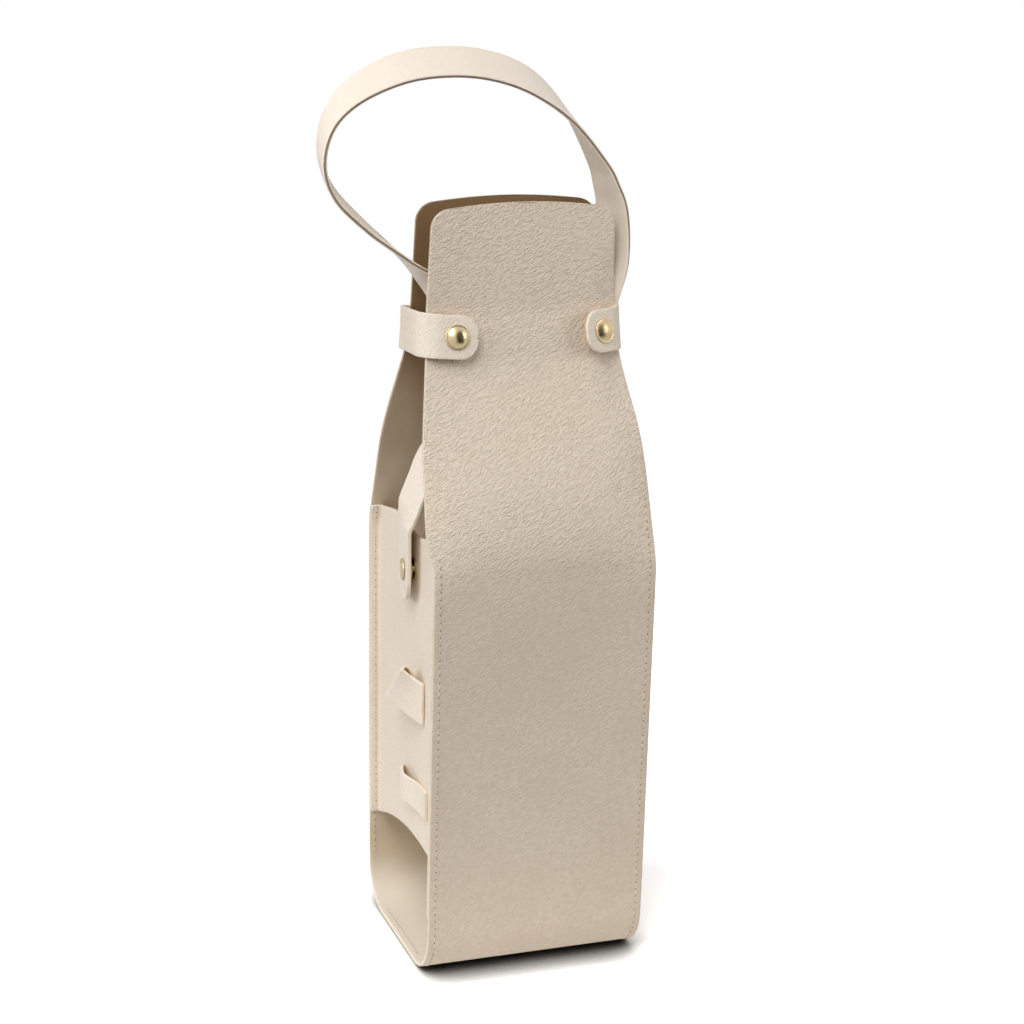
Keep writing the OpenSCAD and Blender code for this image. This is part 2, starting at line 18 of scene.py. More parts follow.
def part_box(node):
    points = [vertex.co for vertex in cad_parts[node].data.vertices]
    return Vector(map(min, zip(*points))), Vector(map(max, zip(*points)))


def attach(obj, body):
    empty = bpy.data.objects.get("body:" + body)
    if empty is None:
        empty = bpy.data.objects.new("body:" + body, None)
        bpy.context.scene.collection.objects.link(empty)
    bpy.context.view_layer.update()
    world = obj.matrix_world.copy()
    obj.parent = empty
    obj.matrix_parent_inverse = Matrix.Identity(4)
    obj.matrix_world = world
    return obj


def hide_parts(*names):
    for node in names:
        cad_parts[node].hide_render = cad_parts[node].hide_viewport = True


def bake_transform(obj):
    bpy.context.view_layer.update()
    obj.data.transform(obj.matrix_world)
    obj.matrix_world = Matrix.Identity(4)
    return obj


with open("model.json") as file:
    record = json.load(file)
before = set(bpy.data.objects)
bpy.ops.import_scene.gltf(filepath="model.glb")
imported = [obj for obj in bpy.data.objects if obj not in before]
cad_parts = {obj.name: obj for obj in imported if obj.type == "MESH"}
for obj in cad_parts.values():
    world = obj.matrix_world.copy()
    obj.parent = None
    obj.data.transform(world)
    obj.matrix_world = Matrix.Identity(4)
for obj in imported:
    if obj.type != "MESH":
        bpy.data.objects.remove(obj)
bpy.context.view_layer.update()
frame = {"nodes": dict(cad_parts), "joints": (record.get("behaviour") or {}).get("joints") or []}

log = logging.getLogger("bottle_carrier")
Array = np.ndarray
Colour = tuple[int, int, int]
Point = tuple[float, float, float]
Row = tuple[float, float, float, float]
Span = tuple[float, float]
Piece = bpy.types.Object
Material = bpy.types.Material
Socket = bpy.types.NodeSocket
WHITE = (1.0, 1.0, 1.0, 1.0)
TINY = 1e-12


class Side(Enum):
    """Left or right half of the carrier, with the sign of its X."""

    LEFT = -1
    RIGHT = 1

    @property
    def word(self) -> str:
        """Name of the side as the frame's nodes spell it."""
        return self.name.lower()


def unit(vectors: Array) -> Array:
    """The same directions with length one, along the last axis."""
    return vectors / np.maximum(np.linalg.norm(vectors, axis=-1, keepdims=True), TINY)


def ease(low: float, high: float, value: Array) -> Array:
    """Smooth step from 0 at low to 1 at high."""
    t = np.clip((np.asarray(value, float) - low) / (high - low), 0, 1)
    return t * t * (3 - 2 * t)


def window(span: Row, value: Array) -> Array:
    """Share that rises between the first two values of the span and falls between the last two."""
    return ease(span[0], span[1], value) * (1 - ease(span[2], span[3], value))


def spread(count: int, bunch: float) -> Array:
    """Places from -1 to 1 round this many faces, partly bunched towards both ends."""
    even = np.linspace(-1, 1, count + 1)
    return (1 - bunch) * even + bunch * np.sin(even * math.pi / 2)


def linear(colour: Colour) -> tuple[float, ...]:
    """Screen colour, 0 to 255, as the linear colour that shaders use, with an alpha of 1."""
    parts = [c / 255 for c in colour]
    return (*(c / 12.92 if c <= 0.04045 else ((c + 0.055) / 1.055) ** 2.4 for c in parts), 1.0)


def dress(piece: Piece, slot: str, *nodes: str, body: str | None = "carrier") -> Piece:
    """Hides the frame nodes that a piece replaces and ties the piece to its body.

    Args:
        piece: The piece.
        slot: Slot of its finish; not used.
        *nodes: Frame nodes that it replaces.
        body: Body that it moves with, or None to leave it untied.

    Returns:
        The piece.
    """
    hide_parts(*nodes)
    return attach(piece, body) if body else piece


# Finishes


class Graph:
    """Shader nodes of one material or of the world."""

    def __init__(self, owner: Material | bpy.types.World) -> None:
        """Clears the owner's nodes and adds its output.

        Args:
            owner: The material or world.
        """
        owner.use_nodes = True
        self.owner, self.tree = owner, owner.node_tree
        self.tree.nodes.clear()
        self.output = self.add("Output" + type(owner).__name__)

    def add(self, kind: str, settings: dict[str, object] | None = None, **inputs: object) -> bpy.types.Node:
        """Adds a node.

        Args:
            kind: Type of the node without its ShaderNode prefix.
            settings: Properties of the node itself.
            **inputs: Values or sockets for its inputs: _ and a number, or a name with _ for a space.

        Returns:
            The new node.
        """
        node = self.tree.nodes.new("ShaderNode" + kind)
        for key, value in (settings or {}).items():
            setattr(node, key, value)
        for key, value in inputs.items():
            self.put(node.inputs[int(key[1:]) if key[1:].isdigit() else key.replace("_", " ")], value)
        return node

    def put(self, socket: Socket, value: object) -> None:
        """Joins an output to a socket, or sets the socket's value.

        Args:
            socket: Input to fill.
            value: Output socket or plain value.
        """
        if isinstance(value, Socket):
            self.tree.links.new(value, socket)
        else:
            socket.default_value = value

    def maths(self, operation: str, a: object, b: object) -> Socket:
        """One sum of two numbers."""
        return self.add("Math", {"operation": operation}, _0=a, _1=b).outputs[0]

    def vector(self, operation: str, a: object, b: object) -> Socket:
        """One sum of two places."""
        return self.add("VectorMath", {"operation": operation}, _0=a, _1=b).outputs[0]

    def span(self, value: Socket, low: float, high: float, to_low: float = 0.0,
             to_high: float = 1.0) -> Socket:
        """Smoothly maps low to to_low and high to to_high, with what lies between."""
        ends = {"From_Min": low, "From_Max": high, "To_Min": to_low, "To_Max": to_high}
        return self.add("MapRange", {"interpolation_type": "SMOOTHSTEP"}, Value=value, **ends).outputs[0]

    def mix(self, share: Socket, a: object, b: object) -> Socket:
        """Mixes two colours, with this share of b."""
        return self.add("Mix", {"data_type": "RGBA"}, _0=share, _6=a, _7=b).outputs[2]

    def grey(self, value: Socket) -> Socket:
        """Grey of this brightness."""
        return self.add("CombineColor", Red=value, Green=value, Blue=value).outputs[0]

    def noise(self, vector: Socket, waves: float, detail: float = 2.0, rough: float = 0.5) -> Socket:
        """Noise with this many waves a metre, finer layers and weight of these layers."""
        return self.add("TexNoise", Vector=vector, Scale=waves, Detail=detail, Roughness=rough).outputs[0]

    def mapped(self, vector: Socket, turn: float, scale: Point) -> Socket:
        """Turns a place about Z by degrees, then scales it."""
        turned = self.add(
            "VectorRotate", {"rotation_type": "Z_AXIS"}, Vector=vector, Angle=math.radians(turn),
        )
        return self.vector("MULTIPLY", turned.outputs[0], scale)

    def leather(self) -> Socket:
        """Place on the flat leather."""
        return self.add("UVMap", {"uv_map": "leather"}).outputs[0]

    def body(self) -> Socket:
        """Place on the object."""
        return self.add("TexCoord").outputs["Object"]

    def axis(self, vector: Socket, number: int) -> Socket:
        """One of a place's three numbers."""
        return self.add("SeparateXYZ", Vector=vector).outputs[number]

    def end(self, shader: bpy.types.Node) -> Material | bpy.types.World:
        """Joins the last shader to the output."""
        self.put(self.output.inputs[0], shader.outputs[0])
        return self.owner

    def surface(self, colour: Socket, roughness: object, height: Socket, depth: float, strength: float,
                **even: float) -> Material:
        """Ends the material in a principled surface with relief.

        Args:
            colour: Base colour.
            roughness: Roughness or its socket.
            height: Height of the relief from 0 to 1.
            depth: Depth that a height of 1 stands for.
            strength: Strength of the relief.
            **even: Values of other sockets, by name with _ for a space.

        Returns:
            The finished material.
        """
        normal = self.add("Bump", Height=height, Distance=depth, Strength=strength).outputs[0]
        inputs = {"Base_Color": colour, "Roughness": roughness, "Normal": normal, **even}
        return self.end(self.add("BsdfPrincipled", **inputs))


@dataclass(frozen=True)
class GrainedLeather:
    """Full-grain leather whose fine pebbles run into slanting wrinkles, with painted shade in the creases."""

    name: str  # name of the material
    colour: Colour  # colour of the raised grain, 0 to 255
    crease: Colour  # colour painted into the creases as their shade, and mixed in as random clouds, 0 to 255
    pebble: float  # width of one pebble
    depth: float  # depth of the relief
    calm: Span | None = None  # distances along the leather between which the relief fades, if it does
    calm_share: float = 0.4  # share of the relief that is left past them
    slant: float = 34.0  # angle of the wrinkles in degrees
    sway: float = 2.2  # how far the grain wanders, in pebbles
    sway_waves: float = 0.4  # waves of that wander in a pebble
    pebble_share: float = 0.3  # weight of the pebbles in the relief
    pebble_stretch: Point = (0.5, 1, 1)  # scale of the pebbles along and across the slant
    fold_share: float = 0.7  # weight of the wrinkles
    fold_stretch: Point = (0.26, 1, 1)  # scale of the wrinkles along and across the slant
    fold_waves: float = 1.4  # waves of the wrinkles in a pebble
    pore_share: float = 0.12  # weight of the pores
    pore_waves: float = 4.0  # waves of the pores in a pebble
    patch_waves: float = 26.0  # waves a metre of the patches where the grain is stronger
    cloud_waves: float = 9.0  # waves a metre of the clouds in its colour
    roughness: float = 0.5  # roughness of the surface

    def build(self) -> Material:
        """Builds the material.

        Returns:
            The finished material.
        """
        g = Graph(bpy.data.materials.new(self.name))
        place = g.leather()
        sway = g.add("TexNoise", Vector=place, Scale=self.sway_waves / self.pebble, Detail=2.0).outputs[1]
        shift = g.vector("SUBTRACT", sway, (0.5, 0.5, 0.5))
        loose = g.vector("ADD", place, g.vector("MULTIPLY", shift, (self.pebble * self.sway,) * 3))
        cells = g.add(
            "TexVoronoi", {"feature": "DISTANCE_TO_EDGE", "voronoi_dimensions": "2D"},
            Vector=g.mapped(loose, self.slant, self.pebble_stretch), Scale=1 / self.pebble,
        ).outputs["Distance"]
        slanted = g.mapped(loose, self.slant, self.fold_stretch)
        folds = g.noise(slanted, self.fold_waves / self.pebble, 1.0, 0.4)
        amount = g.span(g.noise(place, self.patch_waves, 3.0, 0.6), 0.3, 0.7, 0.6, 1.0)
        if self.calm:
            fade = g.span(g.axis(place, 1), *self.calm, 1.0, self.calm_share)
            amount = g.maths("MULTIPLY", amount, fade)
        pebbles = g.maths("MULTIPLY", g.span(cells, 0.0, 0.36), self.pebble_share)
        wrinkles = g.maths("MULTIPLY", g.span(folds, 0.32, 0.66), self.fold_share)
        relief = g.maths("MULTIPLY", g.maths("ADD", pebbles, wrinkles), amount)
        pores = g.maths("MULTIPLY", g.noise(place, self.pore_waves / self.pebble), self.pore_share)
        relief = g.maths("ADD", relief, pores)
        clouds = g.span(g.noise(place, self.cloud_waves), 0.35, 0.7, 0.0, 0.22)
        # Painted shade: the creases take up to half of the crease colour; the clouds then mix the same colour
        # in as random tone.
        tint = g.mix(g.span(relief, 0.0, 0.45, 0.5, 0.0), linear(self.colour), linear(self.crease))
        tint = g.mix(clouds, tint, linear(self.crease))
        rough = g.span(relief, 0.0, 1.0, self.roughness + 0.1, self.roughness - 0.04)
        return g.surface(tint, rough, relief, self.depth, 0.8, Specular_IOR_Level=0.35)


@dataclass(frozen=True)
class SmoothLeather:
    """Smooth leather with faint pores, and where a neck colour is given, painted shade in the neck and
    painted light on the base.
    """

    name: str  # name of the material
    colour: Colour  # main colour, 0 to 255
    shade: Colour  # colour of its darker patches, 0 to 255
    neck: Colour | None = None  # painted shade of the leather in the neck, where the panels shade each other, if any
    foot: Colour = (244, 232, 214)  # painted light: the same leather, lighter on the base where light comes in under the arch
    neck_z: Span = (0.21, 0.30)  # heights between which the painted neck shade comes in
    foot_z: Span = (0.004, 0.026)  # heights between which the painted light of the base fades out
    pit_waves: float = 2600.0  # waves a metre of the pores
    nap_waves: float = 420.0  # waves a metre of the soft nap
    nap_turn: float = 35.0  # angle of the nap in degrees
    nap_stretch: Point = (1, 0.4, 1)  # scale of the nap across and along it
    patch_waves: float = 45.0  # waves a metre of the darker patches
    roughness: float = 0.55  # roughness of the surface
    depth: float = 0.00018  # depth of the relief

    def build(self) -> Material:
        """Builds the material.

        Returns:
            The finished material.
        """
        g = Graph(bpy.data.materials.new(self.name))
        place = g.leather()
        pits = g.noise(place, self.pit_waves)
        nap = g.noise(g.mapped(place, self.nap_turn, self.nap_stretch), self.nap_waves, 3.0)
        relief = g.maths("ADD", g.maths("MULTIPLY", pits, 0.4), g.maths("MULTIPLY", nap, 0.6))
        patches = g.span(g.noise(place, self.patch_waves, 3.0), 0.3, 0.75, 0.0, 0.7)
        tint = g.mix(patches, linear(self.colour), linear(self.shade))
        tint = g.mix(g.span(pits, 0.5, 0.75, 0.0, 0.25), tint, linear(self.shade))
        # Painted shade darkens the neck and painted light brightens the base, by height.
        if self.neck:
            up = g.axis(g.body(), 2)
            tint = g.mix(g.span(up, *self.neck_z), tint, linear(self.neck))
            tint = g.mix(g.span(up, *self.foot_z, 1.0, 0.0), tint, linear(self.foot))
        return g.surface(tint, self.roughness, relief, self.depth, 0.7, Specular_IOR_Level=0.3)


@dataclass(frozen=True)
class FibreEdge:
    """Bare or painted cut edge, thread or hole, with fine fibres in it."""

    name: str  # name of the material
    colour: Colour  # main colour, 0 to 255
    shade: Colour  # colour of its darker specks, 0 to 255
    roughness: float = 0.7  # roughness of the surface
    fibre_waves: float = 1600.0  # waves a metre of the fibres
    patch_waves: float = 160.0  # waves a metre of the patches of darker specks
    depth: float = 0.00015  # depth of the fibres

    def build(self) -> Material:
        """Builds the material.

        Returns:
            The finished material.
        """
        g = Graph(bpy.data.materials.new(self.name))
        place = g.body()
        fibres = g.noise(place, self.fibre_waves, 3.0, 0.6)
        patches = g.span(g.noise(place, self.patch_waves), 0.3, 0.7, 0.4, 1.0)
        share = g.maths("MULTIPLY", g.span(fibres, 0.35, 0.7), patches)
        tint = g.mix(share, linear(self.colour), linear(self.shade))
        return g.surface(tint, self.roughness, fibres, self.depth, 0.6, Specular_IOR_Level=0.25)


@dataclass(frozen=True)
class PlatedBrass:
    """Pale plated brass with faint scratches and clouds."""

    name: str  # name of the material
    colour: Colour  # colour of the metal, 0 to 255
    shade: Colour  # colour of its clouds, 0 to 255
    roughness: float = 0.24  # roughness of the polish
    depth: float = 0.00002  # depth of the scratches
    cloud_waves: float = 260.0  # waves a metre of the clouds
    scratch_waves: float = 5200.0  # waves a metre across the scratches
    scratch_turn: float = 30.0  # angle of the scratches in degrees
    scratch_stretch: Point = (1, 0.06, 1)  # scale of the scratches across and along them

    def build(self) -> Material:
        """Builds the material.

        Returns:
            The finished material.
        """
        g = Graph(bpy.data.materials.new(self.name))
        place = g.body()
        clouds = g.noise(place, self.cloud_waves, 3.0)
        brushed = g.mapped(place, self.scratch_turn, self.scratch_stretch)
        scratches = g.noise(brushed, self.scratch_waves)
        tint = g.mix(g.span(clouds, 0.4, 0.75, 0.0, 0.5), linear(self.colour), linear(self.shade))
        rough = g.span(clouds, 0.3, 0.8, self.roughness, self.roughness + 0.14)
        return g.surface(tint, rough, scratches, self.depth, 0.3, Metallic=1.0)


@dataclass
class Finishes:
    """Every finish of the carrier, built once."""

    made: dict[str, Material] = field(default_factory=dict)  # the finished materials by name

    def __post_init__(self) -> None:
        """Builds the materials."""
        for finish in (
            # The shell's leather is the cream of the walls and bands painted darker, as shade for the front
            # panel; the second colour of each grained leather is its painted crease shade and random clouds.
            GrainedLeather("shell_grain_shaded", (227, 211, 192), (198, 180, 158), 0.0012, 0.00050, (0.15, 0.19)),
            GrainedLeather("wall_grain", (238, 225, 208), (222, 205, 184), 0.0009, 0.00010),
            GrainedLeather("strap_grain", (242, 230, 214), (226, 210, 190), 0.0009, 0.00012),
            GrainedLeather("band_grain", (238, 226, 208), (218, 201, 179), 0.0011, 0.00024),
            GrainedLeather("handle_grain", (244, 232, 217), (232, 217, 198), 0.0008, 0.00007),
            SmoothLeather("handle_back", (242, 230, 213), (226, 210, 188)),
            # The lining's third colour is painted shade in the neck, where the panels shade each other.
            SmoothLeather("lining_tan", (226, 208, 182), (208, 187, 158), (142, 112, 78)),
            SmoothLeather("strap_back", (228, 212, 190), (214, 195, 170)),
            FibreEdge("cut_edge", (246, 237, 220), (220, 200, 172)),
            FibreEdge("painted_edge", (152, 133, 114), (122, 102, 84), 0.5),
            FibreEdge("linen_thread", (228, 213, 192), (204, 186, 162)),
            PlatedBrass("pale_brass", (208, 188, 148), (182, 158, 116)),
            # Painted shade of the awl holes.
            FibreEdge("painted_hole_shade", (146, 126, 104), (124, 104, 84), 0.8),
        ):
            self.made[finish.name] = finish.build()

    def pick(self, *names: str) -> list[Material]:
        """Materials of these names, in order."""
        return [self.made[name] for name in names]


# Meshes


def mesh_object(name: str, points: Array, faces: Sequence[Sequence[int]], materials: Sequence[Material],
                slots: Sequence[int] | None = None, uv: Array | None = None) -> Piece:
    """Makes a smooth mesh object.

    Args:
        name: Name of the object.
        points: Vertices, one a row.
        faces: Vertex numbers of each face.
        materials: Materials of the object.
        slots: Material number of each face.
        uv: Place of each vertex on the flat leather.

    Returns:
        The linked object.
    """
    data = bpy.data.meshes.new(name)
    data.from_pydata([tuple(p) for p in np.asarray(points, float)], [], [tuple(map(int, f)) for f in faces])
    for material in materials:
        data.materials.append(material)
    if slots is not None:
        data.polygons.foreach_set("material_index", np.asarray(slots, np.int32))
    data.polygons.foreach_set("use_smooth", np.ones(len(data.polygons), bool))
    if uv is not None:
        layer = data.uv_layers.new(name="leather")
        index = np.empty(len(data.loops), np.int32)
        data.loops.foreach_get("vertex_index", index)
        layer.data.foreach_set("uv", np.asarray(uv, np.float32)[index].ravel())
    data.update()
    obj = bpy.data.objects.new(name, data)
    bpy.context.scene.collection.objects.link(obj)
    return obj


@dataclass
class Slab:
    """A sheet of leather with real thickness and eased cut edges.

    The eased rings keep the finish of their face, so only the flat of the cut shows the edge's.
    """

    thickness: float  # thickness of the sheet
    edge: float = 0.00035  # radius of the eased edges
    corner: float = 0.3  # share of that radius at the middle point of an eased edge

    def build(self, name: str, face: Array, out: Array, uv: Array, materials: Sequence[Material]) -> Piece:
        """Builds the sheet from a grid of points on its outer face.

        Args:
            name: Name of the object.
            face: Points of the outer face, rows by columns by 3.
            out: Directions out of that face, in the same grid.
            uv: Place on the flat leather, rows by columns by 2.
            materials: Materials of the outer face, the inner face and the cut edge.

        Returns:
            The sheet as an object.
        """
        rows, columns = face.shape[:2]
        count = rows * columns
        number = np.arange(count).reshape(rows, columns)
        ring = np.concatenate([number[0, :-1], number[:-1, -1], number[-1, :0:-1], number[:0:-1, 0]])
        i, j = ring // columns, ring % columns
        border, normal = face[i, j], unit(out[i, j])
        inward = face[np.clip(i, 1, rows - 2), np.clip(j, 1, columns - 2)] - border
        inward = unit(inward - normal * np.sum(inward * normal, axis=-1, keepdims=True))
        e, t, c = self.edge, self.thickness, self.corner * self.edge
        steps = [(e, 0), (c, c), (0, e), (0, t - e), (c, t - c), (e, t)]
        rings = [border + inward * a - normal * b for a, b in steps]
        outer, inner = face.copy(), face - unit(out) * t
        outer[i, j], inner[i, j] = rings[0], rings[-1]
        points = np.concatenate([outer.reshape(-1, 3), inner.reshape(-1, 3), *rings[1:-1]])
        flat, length, between = uv.reshape(-1, 2), len(ring), len(steps) - 2
        places = np.concatenate([flat, flat] + [flat[ring]] * between)
        corners = [number[:-1, :-1], number[1:, :-1], number[1:, 1:], number[:-1, 1:]]
        quads = np.stack(corners, -1).reshape(-1, 4)
        loops = [ring, *(2 * count + k * length + np.arange(length) for k in range(between)), ring + count]
        sides = [np.stack([a, np.roll(a, -1), np.roll(b, -1), b], -1) for a, b in zip(loops, loops[1:])]
        faces = np.concatenate([quads, quads[:, ::-1] + count, *sides])
        slots = np.repeat([0, 1, 0, 0, 2, 1, 1], [len(quads)] * 2 + [length] * 5)
        middle = quads[len(quads) // 2]
        a, b, c = outer.reshape(-1, 3)[middle[:3]]
        if np.dot(np.cross(b - a, c - b), out.reshape(-1, 3)[middle[0]]) < 0:
            faces = faces[:, ::-1]
        return mesh_object(name, points, faces, materials, slots, places)


def rounded_line(corners: Sequence[Sequence[float]], cuts: Sequence[float], step: float) -> Array:
    """Polyline with its corners rounded by arcs.

    Args:
        corners: Corner points in order.
        cuts: Length cut off each side of each corner.
        step: Distance between points.

    Returns:
        Points of the rounded line.
    """
    points = [np.asarray(p, float) for p in corners]
    line = [points[0]]

    def straight(target: Array) -> None:
        """Adds evenly spaced points up to the target.

        Args:
            target: Last point.
        """
        start = line[-1]
        count = max(1, int(round(np.linalg.norm(target - start) / step)))
        for k in range(1, count + 1):
            line.append(start + (target - start) * k / count)

    for before, here, after, cut in zip(points, points[1:], points[2:], cuts[1:]):
        a, b = unit(before - here), unit(after - here)
        start, end = here + a * cut, here + b * cut
        straight(start)
        weight = math.sin(math.acos(np.clip(float(np.dot(a, b)), -1, 1)) / 2)
        count = max(6, int(round(2 * cut / step)))
        for m in range(1, count + 1):
            t = m / count
            parts = (1 - t) ** 2, 2 * t * (1 - t) * weight, t * t
            line.append((start * parts[0] + here * parts[1] + end * parts[2]) / sum(parts))
    straight(points[-1])
    return np.array(line)


def arc_lengths(points: Array) -> Array:
    """Distance of each point along a polyline."""
    return np.concatenate([[0], np.cumsum(np.linalg.norm(np.diff(points, axis=0), axis=1))])


def read_rows(at: Array, lengths: Array, rows: Array) -> Array:
    """Rows of numbers, read at these distances when row k lies at lengths[k]."""
    return np.stack([np.interp(at, lengths, column) for column in rows.T], -1)


def catmull(rows: Sequence[Sequence[float]], steps: int) -> Array:
    """Smooth curve through rows of numbers.

    Args:
        rows: Rows that the curve passes.
        steps: Number of steps from one row to the next.

    Returns:
        The curve's rows.
    """
    table, top = np.array(rows, float), len(rows) - 1
    at = np.linspace(0, top, steps * top + 1)
    i = np.minimum(np.floor(at).astype(int), top - 1)
    u = (at - i)[:, None]
    a, b, c, d = table[np.maximum(i - 1, 0)], table[i], table[i + 1], table[np.minimum(i + 2, top)]
    return b + u / 2 * (c - a + u * (2 * a - 5 * b + 4 * c - d + u * (3 * b - a - 3 * c + d)))


@dataclass
class Strap:
    """A flat strap along a line in space."""

    width: float  # width of the strap
    thickness: float  # thickness of the strap
    start_r: float  # corner radius of its first end
    end_r: float  # corner radius of its last end
    step: float  # distance between its rows
    across: int = 12  # number of faces across its width
    bunch: float = 0.35  # how far these faces bunch towards its edges
    crown: float = 0.0  # how far the middle of the width stands out
    flip: bool = False  # whether the grained face is the other one
    edge: float = 0.00035  # radius of its eased edges
    square: bool = True  # whether the width runs square to the line
    reach: float = 0.0006  # distance to each side over which the line's direction is read

    def half_width(self, at: Array, length: float) -> Array:
        """Half width at distances along the strap, with its round ends.

        Args:
            at: Distances from the first end.
            length: Length of the strap.

        Returns:
            Half widths.
        """
        half = np.full(len(at), self.width / 2)
        for radius, distance in ((self.start_r, at), (self.end_r, length - at)):
            inside = np.clip(radius - distance, 0, radius)
            half = np.minimum(half, self.width / 2 - radius + np.sqrt(np.maximum(radius**2 - inside**2, 0)))
        return half

    def stations(self, length: float) -> Array:
        """Distances along the strap at which its rows stand, close together round its ends.

        Args:
            length: Length of the strap.

        Returns:
            Distances in order.
        """
        angles = np.linspace(0, math.pi / 2, 9)
        first = self.start_r * (1 - np.cos(angles))
        last = length - self.end_r * (1 - np.cos(angles[::-1]))
        count = max(2, int(round((last[0] - first[-1]) / self.step)))
        return np.concatenate([first, np.linspace(first[-1], last[0], count + 1)[1:-1], last])

    def build(self, name: str, line: Array, width_way: Array, materials: Sequence[Material]) -> Piece:
        """Builds the strap.

        Args:
            name: Name of the object.
            line: Points of its middle line, close together.
            width_way: Direction of its width at each point. Where the strap isn't square, its length is
                the share of the width there.
            materials: Materials of the grained face, the back and the edge.

        Returns:
            The strap as an object.
        """
        lengths = arc_lengths(line)
        length = lengths[-1]
        at = self.stations(length)
        centre = read_rows(at, lengths, line)
        way = unit(read_rows(at, lengths, width_way))
        ends = (np.clip(at + reach, 0, length) for reach in (self.reach, -self.reach))
        ahead, behind = (read_rows(end, lengths, line) for end in ends)
        along = unit(ahead - behind)
        half = self.half_width(at, length)
        if self.square:
            way = unit(way - along * np.sum(way * along, axis=-1, keepdims=True))
        else:
            half = half * np.interp(at, lengths, np.linalg.norm(width_way, axis=1))
        out = unit(np.cross(along, way)) * (-1 if self.flip else 1)
        share = spread(self.across, self.bunch)
        offset = half[:, None] * share
        height = self.thickness / 2 + self.crown * (1 - share**2) * np.ones_like(offset)
        face = centre[:, None] + way[:, None] * offset[..., None] + out[:, None] * height[..., None]
        normal = np.broadcast_to(out[:, None], face.shape)
        uv = np.stack([offset, np.broadcast_to(at[:, None], offset.shape)], -1)
        return Slab(self.thickness, self.edge).build(name, face, normal, uv, materials)


@dataclass
class Turned:
    """Round metal part turned from a profile."""

    profile: Sequence[Span]  # radius and height of each point, from the middle of its front to its back
    facets: int = 64  # number of faces round it
    closed: bool = True  # whether both ends are closed by a disc

    def build(self, name: str, place: Matrix, material: Material) -> Piece:
        """Builds the part.

        Args:
            name: Name of the object.
            place: Frame whose local -Y points along the part's axis, outward.
            material: Its finish.

        Returns:
            The part as an object.
        """
        n = self.facets
        end = (len(self.profile) - 1) * n
        angles = np.linspace(0, 2 * math.pi, n, endpoint=False)
        around = [(m, (m + 1) % n) for m in range(n)]
        points = [(r * math.cos(a), -height, r * math.sin(a)) for r, height in self.profile for a in angles]
        faces = [(k + a, k + b, k + b + n, k + a + n) for k in range(0, end, n) for a, b in around]
        if self.closed:
            first = len(points)
            points += [(0, -self.profile[0][1], 0), (0, -self.profile[-1][1], 0)]
            for a, b in around:
                faces += [(first, b, a), (first + 1, end + a, end + b)]
        return mesh_object(name, np.array([tuple(place @ Vector(p)) for p in points]), faces, [material])


# Shell


